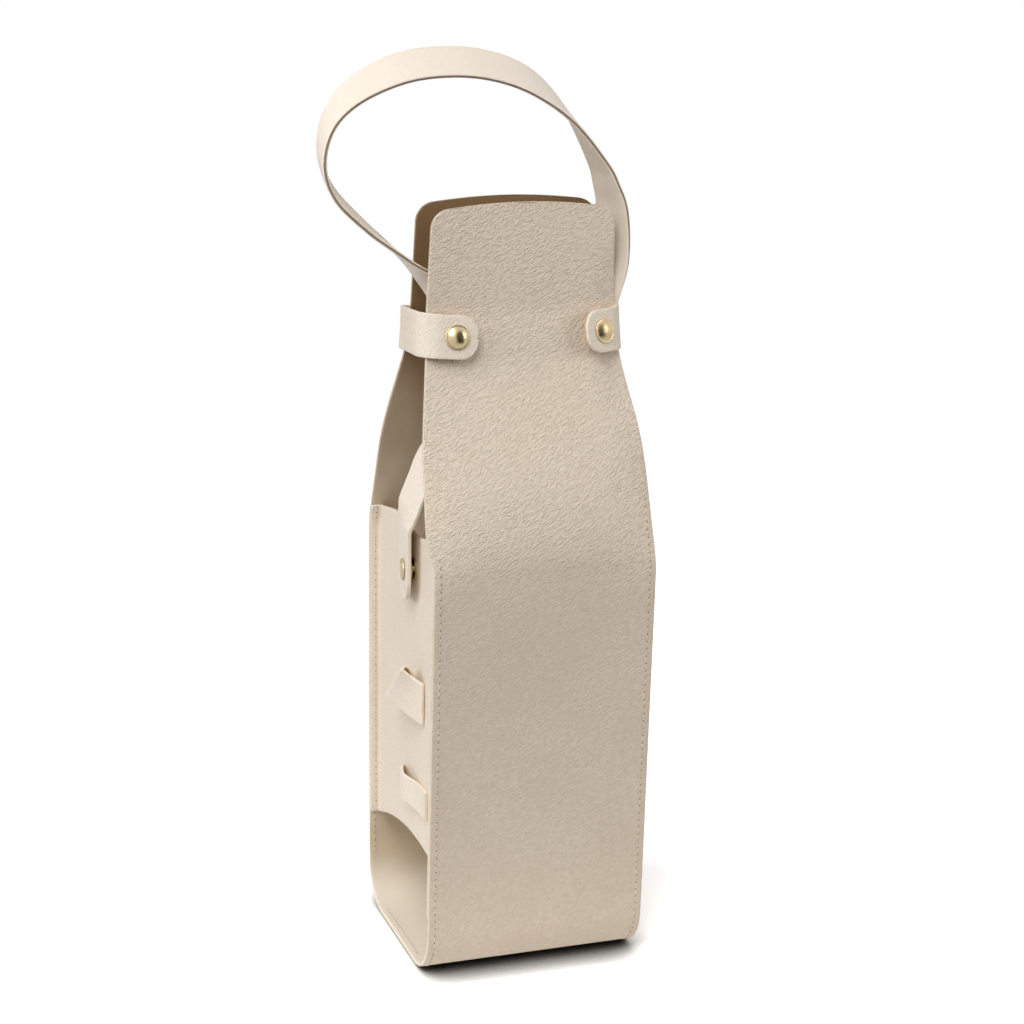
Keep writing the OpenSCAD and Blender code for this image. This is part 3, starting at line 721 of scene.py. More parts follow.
@dataclass
class ShellForm:
    """Side line and front outline of the folded shell."""

    half_w: float = 0.052  # half width of the panels
    base_d: float = 0.098  # depth over the panels at the base
    shoulder_d: float = 0.106  # depth at the shoulders
    shoulder_z: float = 0.193  # height of the shoulders
    panel_h: float = 0.3505  # height of the panels
    base_r: float = 0.022  # radius of the fold under the panels
    shoulder_r: float = 0.030  # radius of the shoulder bend
    neck_w: float = 0.089  # width of the panels where the bands pass
    top_w: float = 0.0855  # width of the panels at their top
    neck_d: float = 0.0252  # depth over the panels at the neck
    neck_r: float = 0.020  # radius of the bends at the neck
    band_z: float = 0.292  # height of the bands
    seat_h: float = 0.022  # height of the flat under the bands
    seat_tilt: float = 11.2  # lean of that flat in degrees
    narrow_z: float = 0.230  # height at which the panels start to narrow
    corner_r: float = 0.009  # radius of the top corners
    top_arch: float = 0.0022  # rise of the top edge
    shell_t: float = 0.0012  # thickness of the outer leather
    lining_t: float = 0.0008  # thickness of the lining
    curl: float = 0.0018  # how far the front panel's right edge curls back behind its tab
    curl_x: Span = (0.030, 0.0445)  # places across between which it curls
    curl_z: Row = (0.250, 0.270, 0.315, 0.335)  # heights between which the curl comes and goes
    dome: float = 0.0050  # how far the front panel stands out over its shoulder
    dome_z: Span = (0.190, 0.013)  # height at which the dome starts, and its rise
    dome_end: Span = (0.220, 0.275)  # heights between which it ends
    flare: float = 0.0015  # how far the front panel's left edge stands out above the wall
    flare_x: Span = (0.036, 0.052)  # distances to the left between which it does
    flare_z: Row = (0.197, 0.206, 0.210, 0.238)  # heights between which the flare comes and goes
    line_step: float = 0.0004  # distance between the points of the side line
    bunch: float = 0.25  # how far the faces across the panels bunch towards their edges

    def __post_init__(self) -> None:
        """Works out the side line from the front's top to the back's top."""
        self.lean = math.radians(self.seat_tilt)
        slope = math.tan(self.lean)
        self.panel_t = self.shell_t + self.lining_t
        self.seat_top = self.band_z + self.seat_h / 2
        self.seat_y = self.neck_d / 2 + self.seat_h / 2 * slope
        self.corner_z = self.panel_h - self.top_arch - self.corner_r
        corners = [
            (-self.neck_d / 2, self.panel_h),
            (-self.neck_d / 2, self.seat_top),
            (-self.neck_d / 2 - self.seat_h * slope, self.band_z - self.seat_h / 2),
            (-self.shoulder_d / 2, self.shoulder_z),
            (-self.base_d / 2, 0.0),
            (0.0, 0.0),
        ]
        radii = [self.neck_r, self.neck_r, self.shoulder_r, self.base_r]
        legs = unit(np.diff(corners, axis=0))
        bends = [math.acos(float(np.dot(a, b))) for a, b in zip(legs, legs[1:])]
        cuts = [0.0, *(radius * math.tan(bend / 2) for radius, bend in zip(radii, bends)), 0.0]
        half = rounded_line(corners, cuts, self.line_step)
        self.half_length = float(arc_lengths(half)[-1])
        self.line = np.concatenate([half, half[::-1][1:] * np.array([-1, 1])])
        self.lengths = arc_lengths(self.line)
        self.length = float(self.lengths[-1])
        along = unit(np.gradient(self.line, axis=0))
        self.outward = np.stack([along[:, 1], -along[:, 0]], -1)

    def at(self, s: Array, depth: float = 0.0) -> tuple[Array, Array]:
        """Points and outward directions of the side line.

        Args:
            s: Distances along the line.
            depth: How far inside the outer face.

        Returns:
            Points (y, z) and unit directions (y, z).
        """
        out = unit(read_rows(s, self.lengths, self.outward))
        return read_rows(s, self.lengths, self.line) - out * depth, out

    def at_height(self, z: Array) -> Array:
        """Distances along the front's side line at which it passes these heights."""
        half = self.line[: len(self.line) // 2 + 1]
        return np.interp(-np.asarray(z), -half[:, 1], self.lengths[: len(half)])

    def half_width_at(self, z: float) -> float:
        """Half width of the panels at a height below the top corners.

        Args:
            z: The height.

        Returns:
            Half the width.
        """
        neck = self.neck_w / 2
        share = np.clip((z - self.narrow_z) / (self.seat_top - self.narrow_z), 0, 1)
        body = neck + (self.half_w - neck) * (1 + np.cos(np.pi * share)) / 2
        up = np.clip((z - self.seat_top) / (self.corner_z - self.seat_top), 0, 1)
        return float(body + (self.top_w / 2 - neck) * up)

    def swell_at(self, x: Array, s: Array, z: Array) -> Array:
        """How far the front panel lies back from its flat form: a dome over the shoulder and a curled edge.

        Args:
            x: Places across.
            s: Distances along the side line.
            z: Heights.

        Returns:
            Distances along Y.
        """
        curl = self.curl * ease(*self.curl_x, x) ** 2 * window(self.curl_z, z)
        start, length = self.dome_z
        rise = 1 - np.exp(-(np.maximum(z - start, 0) / length) ** 1.5)
        dome = self.dome * rise * (1 - ease(*self.dome_end, z)) * (1 - (x / self.half_w) ** 4)
        return np.where(s < self.half_length, curl - dome, 0.0)

    def flare_at(self, x: Array, s: Array, z: Array) -> Array:
        """Distances to the left by which the front panel's left edge stands out above the wall."""
        flare = self.flare * window(self.flare_z, z) * ease(*self.flare_x, -x)
        return np.where(s < self.half_length, flare, 0.0)

    def face(self, x: Array, s: Array, depth: float) -> tuple[Array, Array]:
        """Points and directions of a face of the shell.

        Args:
            x: Places across.
            s: Distances along the side line.
            depth: How far inside the outer face.

        Returns:
            Points and outward directions in space.
        """
        point, out = self.at(s, depth)
        z = point[..., 1]
        face = np.stack([x - self.flare_at(x, s, z), point[..., 0] + self.swell_at(x, s, z), z], -1)
        return face, np.stack([np.zeros_like(x), out[..., 0], out[..., 1]], -1)

    def grid(self, columns: int = 56, step: float = 0.003, corner_rows: int = 12) -> tuple[Array, Array]:
        """Places across and along of a grid that fills the whole strip.

        Args:
            columns: Number of faces across.
            step: Distance between rows.
            corner_rows: Number of rows round the top corners.

        Returns:
            x and s, rows by columns.
        """
        share = spread(columns, self.bunch)
        flat_w = self.top_w / 2 - self.corner_r
        xs, ss = [], []
        for theta in np.linspace(math.pi / 2, 0, corner_rows):
            end_z = self.corner_z + self.corner_r * math.sin(theta)
            xs.append((flat_w + self.corner_r * math.cos(theta)) * share)
            ss.append(self.panel_h - end_z - self.top_arch * math.sin(theta) * (1 - share**2))
        start = self.panel_h - self.corner_z
        count = int(round((self.half_length - start) / step))
        for s in np.linspace(start, self.half_length, count + 1)[1:]:
            xs.append(self.half_width_at(np.interp(s, self.lengths, self.line[:, 1])) * share)
            ss.append(np.full_like(share, s))
        x, s = np.array(xs), np.array(ss)
        return np.concatenate([x, x[-2::-1]]), np.concatenate([s, self.length - s[-2::-1]])


@dataclass(frozen=True)
class Stitching:
    """Rows of stitches whose ends dip into awl holes."""

    pitch: float = 0.0035  # distance from one stitch to the next
    radius: float = 0.00030  # radius of the thread
    cover: float = 0.8  # share of the pitch that a stitch covers
    lean: float = 0.05  # spread of the stitches' directions
    uneven: float = 0.02  # spread of their lengths
    lift: float = 0.25  # height of a stitch's middle over the leather, in radii
    dip: float = 1.3  # how far its ends drop from there, in radii
    taper: float = 0.25  # how much thinner its ends are
    flat: float = 0.85  # height of the thread's section as a share of its width
    hole: Span = (1.25, 1.05)  # half length and half width of the dark disc painted as an awl hole's shade, in radii
    hole_lift: float = 0.00003  # height of that painted shade disc over the leather
    rings: int = 9  # rings of points along a stitch
    facets: int = 8  # points round it
    seed: int = 7  # start of the random draws

    def build(self, name: str, middle: Array, along: Array, normal: Array,
              materials: Sequence[Material]) -> Piece:
        """Builds a row of stitches.

        Args:
            name: Name of the object.
            middle: Middle of each stitch on the leather's face.
            along: Direction of each stitch.
            normal: Direction out of the leather.
            materials: Finishes of the thread and of the painted hole shade.

        Returns:
            One object with all stitches.
        """
        random = np.random.default_rng(self.seed)
        n, radius = self.facets, self.radius
        circle = [(math.cos(a), math.sin(a)) for a in np.linspace(0, 2 * math.pi, n, endpoint=False)]
        around = [(m, (m + 1) % n) for m in range(n)]
        points, faces = [], []
        for centre, ahead, out in zip(middle, along, normal):
            direction = unit(ahead + np.cross(out, ahead) * random.normal(0, self.lean))
            side = unit(np.cross(out, direction))
            reach = self.cover * self.pitch * (1 + random.normal(0, self.uneven)) / 2
            base = len(points)
            for share in np.linspace(-1, 1, self.rings):
                lift = radius * (self.lift - self.dip * abs(share) ** 3)
                ring = centre + direction * share * reach + out * lift
                swell = radius * (1 - self.taper * share**2)
                points += [ring + side * swell * c + out * swell * s * self.flat for c, s in circle]
            # Dark disc painted as the shade inside the awl hole.
            hole = centre + ahead * self.pitch / 2 + out * self.hole_lift
            length, width = (radius * share for share in self.hole)
            points += [hole + ahead * length * c + side * width * s for c, s in circle]
            for k in range(base, base + (self.rings - 1) * n, n):
                faces += [(k + a, k + a + n, k + b + n, k + b) for a, b in around]
            end = base + (self.rings - 1) * n
            faces += [tuple(range(base, base + n)), tuple(range(end + n - 1, end - 1, -1))]
            faces.append(tuple(range(end + n, end + 2 * n)))
        slots = ([0] * ((self.rings - 1) * n + 2) + [1]) * len(middle)
        return mesh_object(name, np.array(points), faces, materials, slots)


@dataclass
class Shell:
    """Outer leather, lining and the stitches along their edges."""

    form: ShellForm  # side line and outline
    finishes: Finishes  # finishes of the carrier
    stitching: Stitching = Stitching()  # stitches of its seams
    seam_in: float = 0.003  # distance from the panel edge to the seam
    inner_shift: float = 0.0004  # how much nearer the edge the seam's inner rows lie
    seam_top: float = 0.230  # height at which the seams start
    flange_z: Span = (0.034, 0.202)  # heights between which the side walls' flanges lie inside the panels
    back_flange_z: float = 0.0465  # height at which the back flanges end
    flange_t: float = 0.0016  # thickness of those flanges
    edge: float = 0.00025  # radius of the eased edges of both leathers
    glue: float = 0.00001  # clearance between them
    ahead: float = 0.0005  # distance over which a seam's direction is read

    def leather(self) -> list[Piece]:
        """Builds the outer leather and the lining.

        Returns:
            The two pieces.
        """
        form = self.form
        x, s = form.grid()
        uv = np.stack([x, s], -1)
        pieces = []
        for node, depth, thickness, grain in (
            ("outer_shell", 0.0, form.shell_t, "shell_grain_shaded"),
            ("lining", form.shell_t + self.glue, form.lining_t, "lining_tan"),
        ):
            looks = self.finishes.pick(grain, "lining_tan", "cut_edge")
            sheet = Slab(thickness, self.edge).build(f"{node}_leather", *form.face(x, s, depth), uv, looks)
            pieces.append(dress(sheet, f"{node.removeprefix('outer_')}_leather", node))
        return pieces

    def row(self, s: Array, x: float, depth: Array) -> tuple[Array, Array, Array]:
        """Places of a row of stitches on the shell or on a layer inside it.

        Args:
            s: Distances along the side line.
            x: Place across.
            depth: How far inside the outer face each stitch lies; above 0 it faces inward.

        Returns:
            Middles, directions along and directions out of the leather.
        """
        point, out = self.form.at(s)
        ahead, _ = self.form.at(s + self.ahead)
        zero, across = np.zeros(len(s)), np.full(len(s), x)
        along = unit(np.stack([zero, *(ahead - point).T], -1))
        y, z = (point - out * depth[:, None]).T
        facing = np.where(depth > 0, -1, 1)
        middle = np.stack([across, y + self.form.swell_at(across, s, z), z], -1)
        return middle, along, np.stack([zero, *(out.T * facing)], -1)

    def sew(self, name: str, node: str, middle: Array, along: Array, normal: Array) -> Piece:
        """Builds stitches at these places and dresses them for their node."""
        looks = self.finishes.pick("linen_thread", "painted_hole_shade")
        return dress(self.stitching.build(name, middle, along, normal, looks), "thread", node)

    def seam(self, node: str, x: float, back: bool) -> Piece:
        """Builds one seam: its stitches outside and those on the wall's flange and the lining.

        Args:
            node: Frame node that it stands for.
            x: Place of the seam across the panel.
            back: Whether it is on the back panel.

        Returns:
            The rows of stitches.
        """
        form, pitch = self.form, self.stitching.pitch
        start = form.at_height(self.seam_top)
        count = int((form.half_length - start) / pitch)
        s = start + (np.arange(count) + 0.5) * pitch
        height = np.interp(s, form.lengths, form.line[:, 1])
        low, high = self.back_flange_z if back else self.flange_z[0], self.flange_z[1]
        depth = np.where((height > low) & (height < high), self.flange_t, 0.0) + form.panel_t
        s = form.length - s if back else s
        inside = (height > form.base_r) & (height < high)
        outer = self.row(s, x, np.zeros(count))
        inner = self.row(s[inside], x + math.copysign(self.inner_shift, x), depth[inside])
        return self.sew(node + "_thread", node, *(np.concatenate(pair) for pair in zip(outer, inner)))

    def base_rows(self) -> Piece:
        """Builds the stitch rows inside the base.

        Returns:
            Both rows.
        """
        form, pitch = self.form, self.stitching.pitch
        count = int(2 * (form.base_d / 2 - form.base_r) / pitch)
        y = (np.arange(count) + 0.5 - count / 2) * pitch
        edge = form.half_w - self.seam_in
        middle = np.array([(side.value * edge, v, form.panel_t) for side in Side for v in y])
        along, normal = (np.tile(way, (2 * count, 1)) for way in ((0.0, 1.0, 0.0), (0.0, 0.0, 1.0)))
        return self.sew("base_stitches", "base_seams", middle, along, normal)

    def build(self) -> list[Piece]:
        """Builds the leather and every seam.

        Returns:
            All pieces of the shell.
        """
        pieces = self.leather()
        edge = self.form.half_w - self.seam_in
        for side in Side:
            for panel in ("front", "back"):
                pieces.append(self.seam(f"{panel}_{side.word}_seam", side.value * edge, panel == "back"))
        return [*pieces, self.base_rows()]


# Side walls


class Fold(Enum):
    """Parts of a side wall across its depth."""

    WEB = "web"
    BEND = "bend"
    FLANGE = "flange"


@dataclass
class SideWall:
    """Side wall with a front flange, a back flange that ends at the arch, and a leg in front."""

    form: ShellForm  # side line of the shell
    finishes: Finishes  # finishes of the carrier
    side: Side  # which side it is on
    thickness: float = 0.0016  # thickness of its leather
    inset: float = 0.0045  # how far it is set in from the panel edges
    bend_r: float = 0.0012  # radius of the bend between web and flange, at the middle of the leather
    # places along its top edge, from -1 in front to 1 at the back
    top_shares: tuple[float, ...] = (-1, -0.8, -0.56, -0.4, -0.23, -0.05, 0.15, 0.37, 0.5, 0.63, 0.8, 1)
    # heights of the top edge at these places
    top_heights: tuple[float, ...] = (
        0.2040, 0.2040, 0.2034, 0.2018, 0.2006, 0.2014, 0.2030, 0.2042, 0.2042, 0.2036, 0.2022, 0.2006,
    )
    arch_z: float = 0.056  # height of the arched lower edge at its crest
    arch_y: float = 0.012  # how far the crest stands in front of the middle
    arch_drop: float = 0.0105  # drop of the arch from its crest to the back panel
    leg_w: float = 0.005  # width of the leg below the arch's front end
    leg_z: float = 0.028  # height at which the leg ends
    leg_power: float = 0.7  # how late the arch turns down into the leg
    flange_rise: float = 0.003  # rise of the front flange's lower edge from the bend to its own edge
    fine_from: float = 0.8  # share of the web from which its columns stand closer
    web_columns: tuple[int, int] = (26, 13)  # columns of half the web up to there and past it
    bend_columns: int = 7  # columns round each bend
    flange_columns: int = 5  # columns of each flange
    gap: float = 0.00002  # clearance to the lining
    edge: float = 0.0003  # radius of its eased edges
    rows: int = 60  # number of faces up the wall

    @property
    def web_x(self) -> float:
        """Distance of the web's outer face from the middle."""
        return self.form.half_w - self.inset

    @property
    def reach(self) -> float:
        """Half depth between the linings at the base."""
        return self.form.base_d / 2 - self.form.panel_t

    def columns(self) -> list[tuple[Fold, float, int]]:
        """Columns of the folded sheet from its front edge to its back edge.

        Returns:
            Part of the wall, place across it and -1 in front or 1 at the back.
        """
        wide, close = self.web_columns
        half = [(Fold.WEB, share) for share in np.linspace(0, self.fine_from, wide)]
        half += [(Fold.WEB, share) for share in np.linspace(self.fine_from, 1, close)[1:]]
        half += [(Fold.BEND, angle) for angle in np.linspace(0, math.pi / 2, self.bend_columns)[1:]]
        half += [(Fold.FLANGE, share) for share in np.linspace(0, 1, self.flange_columns)[1:]]
        return [(*place, -1) for place in half[:0:-1]] + [(*place, 1) for place in half]

    def section(self, fold: Fold, value: float, depth: Array) -> tuple[float, Array, Span, Array]:
        """One column of the wall, seen from above.

        Args:
            fold: Part of the wall.
            value: Place across it: a share, or the angle round the bend.
            depth: Half depth of the wall inside its flanges, at each height.

        Returns:
            Place out to the side, places along Y, direction out and places on the flat leather.
        """
        x, r = self.web_x, self.bend_r
        if fold is Fold.WEB:
            across = (depth - r) * value
            return x, across, (1.0, 0.0), across
        if fold is Fold.BEND:
            turn = math.cos(value), math.sin(value)
            return x + r - r * turn[0], depth - r + r * turn[1], (turn[0], -turn[1]), depth - r + r * value
        return x + r + (self.inset - r) * value, depth, (0.0, -1.0), depth + value * self.inset

    def low_edge(self, fold: Fold, value: float, sign: int) -> float:
        """Height of the lower edge: an arch, a leg in front and a front flange that goes on down.

        Args:
            fold: Part of the wall.
            value: Place across that part.
            sign: -1 in front, 1 at the back.

        Returns:
            Height of the lower edge there.
        """
        if fold is Fold.FLANGE and sign < 0:
            return self.leg_z + self.flange_rise * value
        y = sign * self.reach * (value if fold is Fold.WEB else 1.0)
        arch = self.arch_z - self.arch_drop * ((y + self.arch_y) / (self.reach + self.arch_y)) ** 2
        if fold is not Fold.WEB:
            return self.leg_z if sign < 0 else arch
        leg = 1 - self.leg_w / self.reach
        if sign > 0 or value <= leg:
            return arch
        return arch - (arch - self.leg_z) * ((value - leg) / (1 - leg)) ** self.leg_power

    def build(self) -> Piece:
        """Builds the wall as one folded sheet.

        Returns:
            The side wall.
        """
        columns, side = self.columns(), self.side.value
        face, out, uv = (np.zeros((self.rows + 1, len(columns), size)) for size in (3, 3, 2))
        for j, (fold, value, sign) in enumerate(columns):
            share = sign * (value if fold is Fold.WEB else 1.0)
            high = np.interp(share, self.top_shares, self.top_heights)
            z = np.linspace(self.low_edge(fold, value, sign), high, self.rows + 1)
            wall, _ = self.form.at(self.form.at_height(z), self.form.panel_t + self.gap)
            x, across, way, flat = self.section(fold, value, -wall[:, 0] - self.thickness)
            face[:, j] = np.stack([np.full_like(z, x * side), across * sign, z], -1)
            out[:, j] = way[0] * side, way[1] * sign, 0.0
            uv[:, j] = np.stack([flat * sign, z], -1)
        looks = self.finishes.pick("wall_grain", "lining_tan", "cut_edge")
        wall = Slab(self.thickness, self.edge).build(f"{self.side.word}_side_wall", face, out, uv, looks)
        return dress(wall, "wall_leather", f"{self.side.word}_gusset")


@dataclass
class ToolLoop:
    """Leather loop on the left side wall."""

    wall: SideWall  # the side wall
    name: str  # name of the loop
    node: str  # frame node that it stands for
    bulge: float  # how far it stands out
    width: float  # width of its leather
    # shares of the bulge, of the wall's depth and of its height, then how the width runs in y and z
    rows: Sequence[Sequence[float]]
    thickness: float = 0.0014  # thickness of its leather
    end_r: float = 0.0008  # corner radius of its ends
    step: float = 0.001  # distance between its rows of points
    curve_steps: int = 16  # steps of its line from one of the rows above to the next
    wall_h: float = 0.202  # height of the wall

    def build(self) -> Piece:
        """Builds the loop.

        Returns:
            The loop.
        """
        out, y, z, way_y, way_z = catmull(self.rows, self.curve_steps).T
        x = -(self.wall.web_x + self.thickness / 2 + self.bulge * np.maximum(out, 0))
        line = np.stack([x, 2 * self.wall.reach * y, self.wall_h * z], -1)
        way = np.stack([np.zeros_like(x), way_y, way_z], -1)
        strap = Strap(self.width, self.thickness, self.end_r, self.end_r, self.step, flip=True, square=False)
        looks = self.wall.finishes.pick("strap_grain", "strap_back", "cut_edge")
        return dress(strap.build(self.name, line, way, looks), "strap_leather", self.node)


UPPER_LOOP_ROWS = (
    (0, -0.277, 0.624, 0, 1), (0.5, -0.197, 0.634, -0.35, 1.02), (0.9, -0.117, 0.645, -0.9, 1.05),
    (1, -0.069, 0.6485, -1.25, 1.05), (0.72, -0.056, 0.655, -1.25, 1), (0.35, -0.066, 0.643, -1.2, 0.82),
    (0.14, -0.072, 0.607, -1.1, 0.38), (0, -0.07, 0.58, -1, 0.1),
)
LOWER_LOOP_ROWS = (
    (0, -0.34, 0.39, 0, 1.1), (0.06, -0.22, 0.39, 0, 1.08), (0.55, -0.14, 0.393, 0, 1),
    (1, -0.08, 0.396, 0, 0.95), (0.6, 0, 0.398, 0, 0.88), (0, 0.055, 0.397, 0, 0.85),
)


# Neck bands


@dataclass
class SnapSeat:
    """Frames of the two front snaps and of the side strap's snap."""

    form: ShellForm  # side line of the shell
    span: float = 0.0684  # distance between the two front snaps
    shift: float = 0.0019  # shift of both to the right
    tab_tilt: float = 5.0  # tilt of the tabs in their plane, in degrees
    tab_mid: float = 0.0037  # distance of a tab's middle from the panel's face
    tab_turn: float = 23.0  # how far the right tab is pulled round its snap, in degrees
    tab_lift: float = 0.0004  # how far that pull lifts the tab's middle
    wall_place: Point = (-0.0516, -0.007, 0.185)  # place of the side strap's snap on the left wall
    strap_turn: float = 7.5  # how far the side strap's tab is turned out in front, in degrees

    def x(self, side: Side) -> float:
        """Place of a front snap across the panel."""
        return self.shift + side.value * self.span / 2

    def front(self, side: Side) -> Matrix:
        """Frame of a front snap turned with its tab, whose local -Y points out.

        Args:
            side: Which snap.

        Returns:
            The frame.
        """
        place = Matrix.Translation((self.x(side), -self.form.seat_y, self.form.band_z))
        place = place @ Matrix.Rotation(-self.form.lean, 4, "X")
        place = place @ Matrix.Rotation(math.radians(-side.value * self.tab_tilt), 4, "Y")
        if side is Side.LEFT:
            return place
        turn = Matrix.Rotation(math.radians(self.tab_turn), 4, "Z")
        lifted = Matrix.Translation((0, -self.tab_mid - self.tab_lift, 0))
        return place @ lifted @ turn @ Matrix.Translation((0, self.tab_mid, 0))

    def wall(self) -> Matrix:
        """Frame of the side strap's snap, turned with its tab."""
        turn = Matrix.Rotation(math.radians(-90 - self.strap_turn), 4, "Z")
        return Matrix.Translation(self.wall_place) @ turn @ Matrix.Translation((0, self.tab_mid, 0))


@dataclass
class NeckBand:
    """Band round one edge of the neck, with its snap tab."""

    seats: SnapSeat  # frames of the snaps
    finishes: Finishes  # finishes of the carrier
    side: Side  # which side it is on
    width: float = 0.0195  # width of the band
    thickness: float = 0.002  # thickness of the band
    left_stand: float = 0.0035  # how far the left band's middle stands outside the neck's edge
    right_stand: float = 0.0040  # the same on the right, where the band is pulled out more
    tip: float = 0.0097  # length of the tab past its snap
    tip_r: float = 0.008  # corner radius of the tip
    back_r: float = 0.0015  # corner radius of the back end
    front_bend: float = 0.009  # length cut off each side of the bend in front
    back_bend: float = 0.0037  # the same at the back
    back_end: float = 0.023  # place across where it ends on the back panel
    gap: float = 0.0002  # clearance to the panel
    line_step: float = 0.0005  # distance between the points of its line
    step: float = 0.0009  # distance between its rows of points
    fold_in: float = 0.29  # how far the tab's fold line lies inside its bend, as a share of the bend
    # half length, along X and Y, round the tab's fold line
    fold_half: Span = (0.006, 0.007)

    def build(self) -> Piece:
        """Builds the band as one strap that bends at the panel's edge.

        Returns:
            The band with its tab.
        """
        seats, form, sign, word = self.seats, self.seats.form, self.side.value, self.side.word
        place = seats.front(self.side)
        stand = self.left_stand if self.side is Side.LEFT else self.right_stand
        out_x = form.neck_w / 2 + stand
        reach = (out_x - abs(seats.x(self.side))) / math.cos(math.radians(seats.tab_tilt))
        tip, fold = (np.array(place @ Vector((sign * x, -seats.tab_mid, 0))) for x in (-self.tip, reach))
        back_y = form.seat_y + (self.gap + self.thickness / 2) / math.cos(form.lean)
        corner, end = (np.array([sign * x, back_y, form.band_z]) for x in (out_x, self.back_end))
        line = rounded_line([tip, fold, corner, end], [0, self.front_bend, self.back_bend, 0], self.line_step)
        front_way = np.array(place.to_3x3() @ Vector((0, 0, 1)))
        upright = np.array([0.0, 0.0, 1.0])
        back_way = np.array([0, -math.sin(form.lean), math.cos(form.lean)])
        lengths = arc_lengths(line)
        first = float(np.linalg.norm(fold - tip))
        second = first + float(np.linalg.norm(corner - fold))
        half_way = (first + second) / 2
        share = ease(first - self.front_bend, half_way, lengths)[:, None]
        way = front_way * (1 - share) + upright * share
        share = ease(half_way, second, lengths)[:, None]
        way = unit(way * (1 - share) + back_way * share)
        strap = Strap(self.width, self.thickness, self.tip_r, self.back_r, self.step, flip=sign < 0)
        looks = self.finishes.pick("band_grain", "strap_back", "cut_edge")
        band = strap.build(f"{word}_neck_band", line, way, looks)
        dress(band, "strap_leather", f"{word}_band", f"{word}_tab", body=None)
        middle = Vector(fold) + Vector((-sign, 1, 0)) * self.front_bend * self.fold_in
        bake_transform(band)
        return band


# Straps


@dataclass
class Handle:
    """Carrying strap, twisted as the two front snap posts hold it between the panels."""

    seats: SnapSeat  # frames of the snaps
    finishes: Finishes  # finishes of the carrier
    # shares of the half span, of the rise and of the neck's half depth, then the turn
    rows: Sequence[Row] = (
        (-1, -0.076, -1.1, 90), (-1, 0, -1, 90), (-0.99, 0.05, -0.82, 90), (-0.985, 0.1, -0.5, 80),
        (-1, 0.14, -0.22, 56), (-1.12, 0.176, -0.04, 30), (-1.31, 0.222, 0, 12), (-1.48, 0.265, 0, 2),
        (-1.77, 0.334, -0.06, -5), (-2.1, 0.412, -0.12, -10), (-2.5, 0.53, -0.2, -13),
        (-2.66, 0.652, -0.24, -8), (-2.57, 0.787, -0.24, 3), (-2.24, 0.896, -0.24, 19),
        (-1.66, 0.976, -0.24, 30), (-1.05, 1, -0.24, 33), (-0.46, 0.985, -0.24, 34),
        (0.1, 0.925, -0.24, 30), (0.62, 0.8, -0.24, 13), (1.04, 0.625, -0.24, -5),
        (1.17, 0.54, -0.24, -13), (1.26, 0.44, -0.24, -23), (1.21, 0.258, -0.32, -50),
        (1.03, 0.115, -0.6, -80), (1, 0.06, -0.88, -90), (1, 0, -1, -90), (1, -0.076, -1.1, -90),
    )
    rise: float = 0.1185  # rise over the bands
    width: float = 0.020  # width of the strap
    thickness: float = 0.002  # thickness of the strap
    end_r: float = 0.003  # corner radius of its ends
    crown: float = 0.0002  # how far the middle of its width stands out
    edge: float = 0.0005  # radius of its painted edges
    step: float = 0.0014  # distance between its rows of points
    across: int = 14  # number of faces across its width
    curve_steps: int = 24  # steps of its line from one of the rows above to the next
    gap: float = 0.0002  # clearance between layers
    bend_low: float = 0.010  # distance of a point below the swing axis
    bend_high: float = 0.014  # distance of a point above it

    def layer_y(self, z: Array, depth: float) -> Array:
        """Middle of a layer that lies inside the front seat.

        Args:
            z: Heights.
            depth: Depth of its outer face inside the panel's face.

        Returns:
            Places along Y.
        """
        form = self.seats.form
        inside = (depth + self.thickness / 2) / math.cos(form.lean)
        return -form.seat_y + (z - form.band_z) * math.tan(form.lean) + inside

    def build(self) -> Piece:
        """Builds the handle as one strap.

        Returns:
            The handle.
        """
        seats, form = self.seats, self.seats.form
        across, up, depth, turn = catmull(self.rows, self.curve_steps).T
        z = form.band_z + self.rise * up
        seated = self.layer_y(np.minimum(z, form.seat_top), form.panel_t + self.gap)
        y = np.maximum(form.neck_d / 2 * depth, seated)
        line = np.stack([seats.shift + seats.span / 2 * across, y, z], -1)
        turn = np.radians(np.clip(turn, -90, 90))[:, None]
        along = unit(np.gradient(line, axis=0))
        flat = unit(np.array([0, 1, 0]) - along * along[:, 1:2])
        way = flat * np.cos(turn) + np.cross(along, flat) * np.sin(turn)
        strap = Strap(
            self.width, self.thickness, self.end_r, self.end_r, self.step,
            across=self.across, crown=self.crown, edge=self.edge,
        )
        looks = self.finishes.pick("handle_grain", "handle_back", "painted_edge")
        handle = strap.build("handle_leather", line, way, looks)
        dress(handle, "strap_leather", "handle_left_end", "handle_strap", "handle_right_end", body=None)
        joint = next(j for j in frame["joints"] if j["name"] == "handle_swing")
        axis, point = Vector(joint["axis"]).normalized(), Vector(joint["pos_m"])
        rising = Vector((0, 0, 1))
        rising = (rising - axis * rising.dot(axis)).normalized()
        rising = (rising - Vector((0, 1, 0)) * rising.y).normalized()
        start, end = point - rising * self.bend_low, point + rising * self.bend_high
        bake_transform(handle)
        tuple(start)
        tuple(end)
        return handle


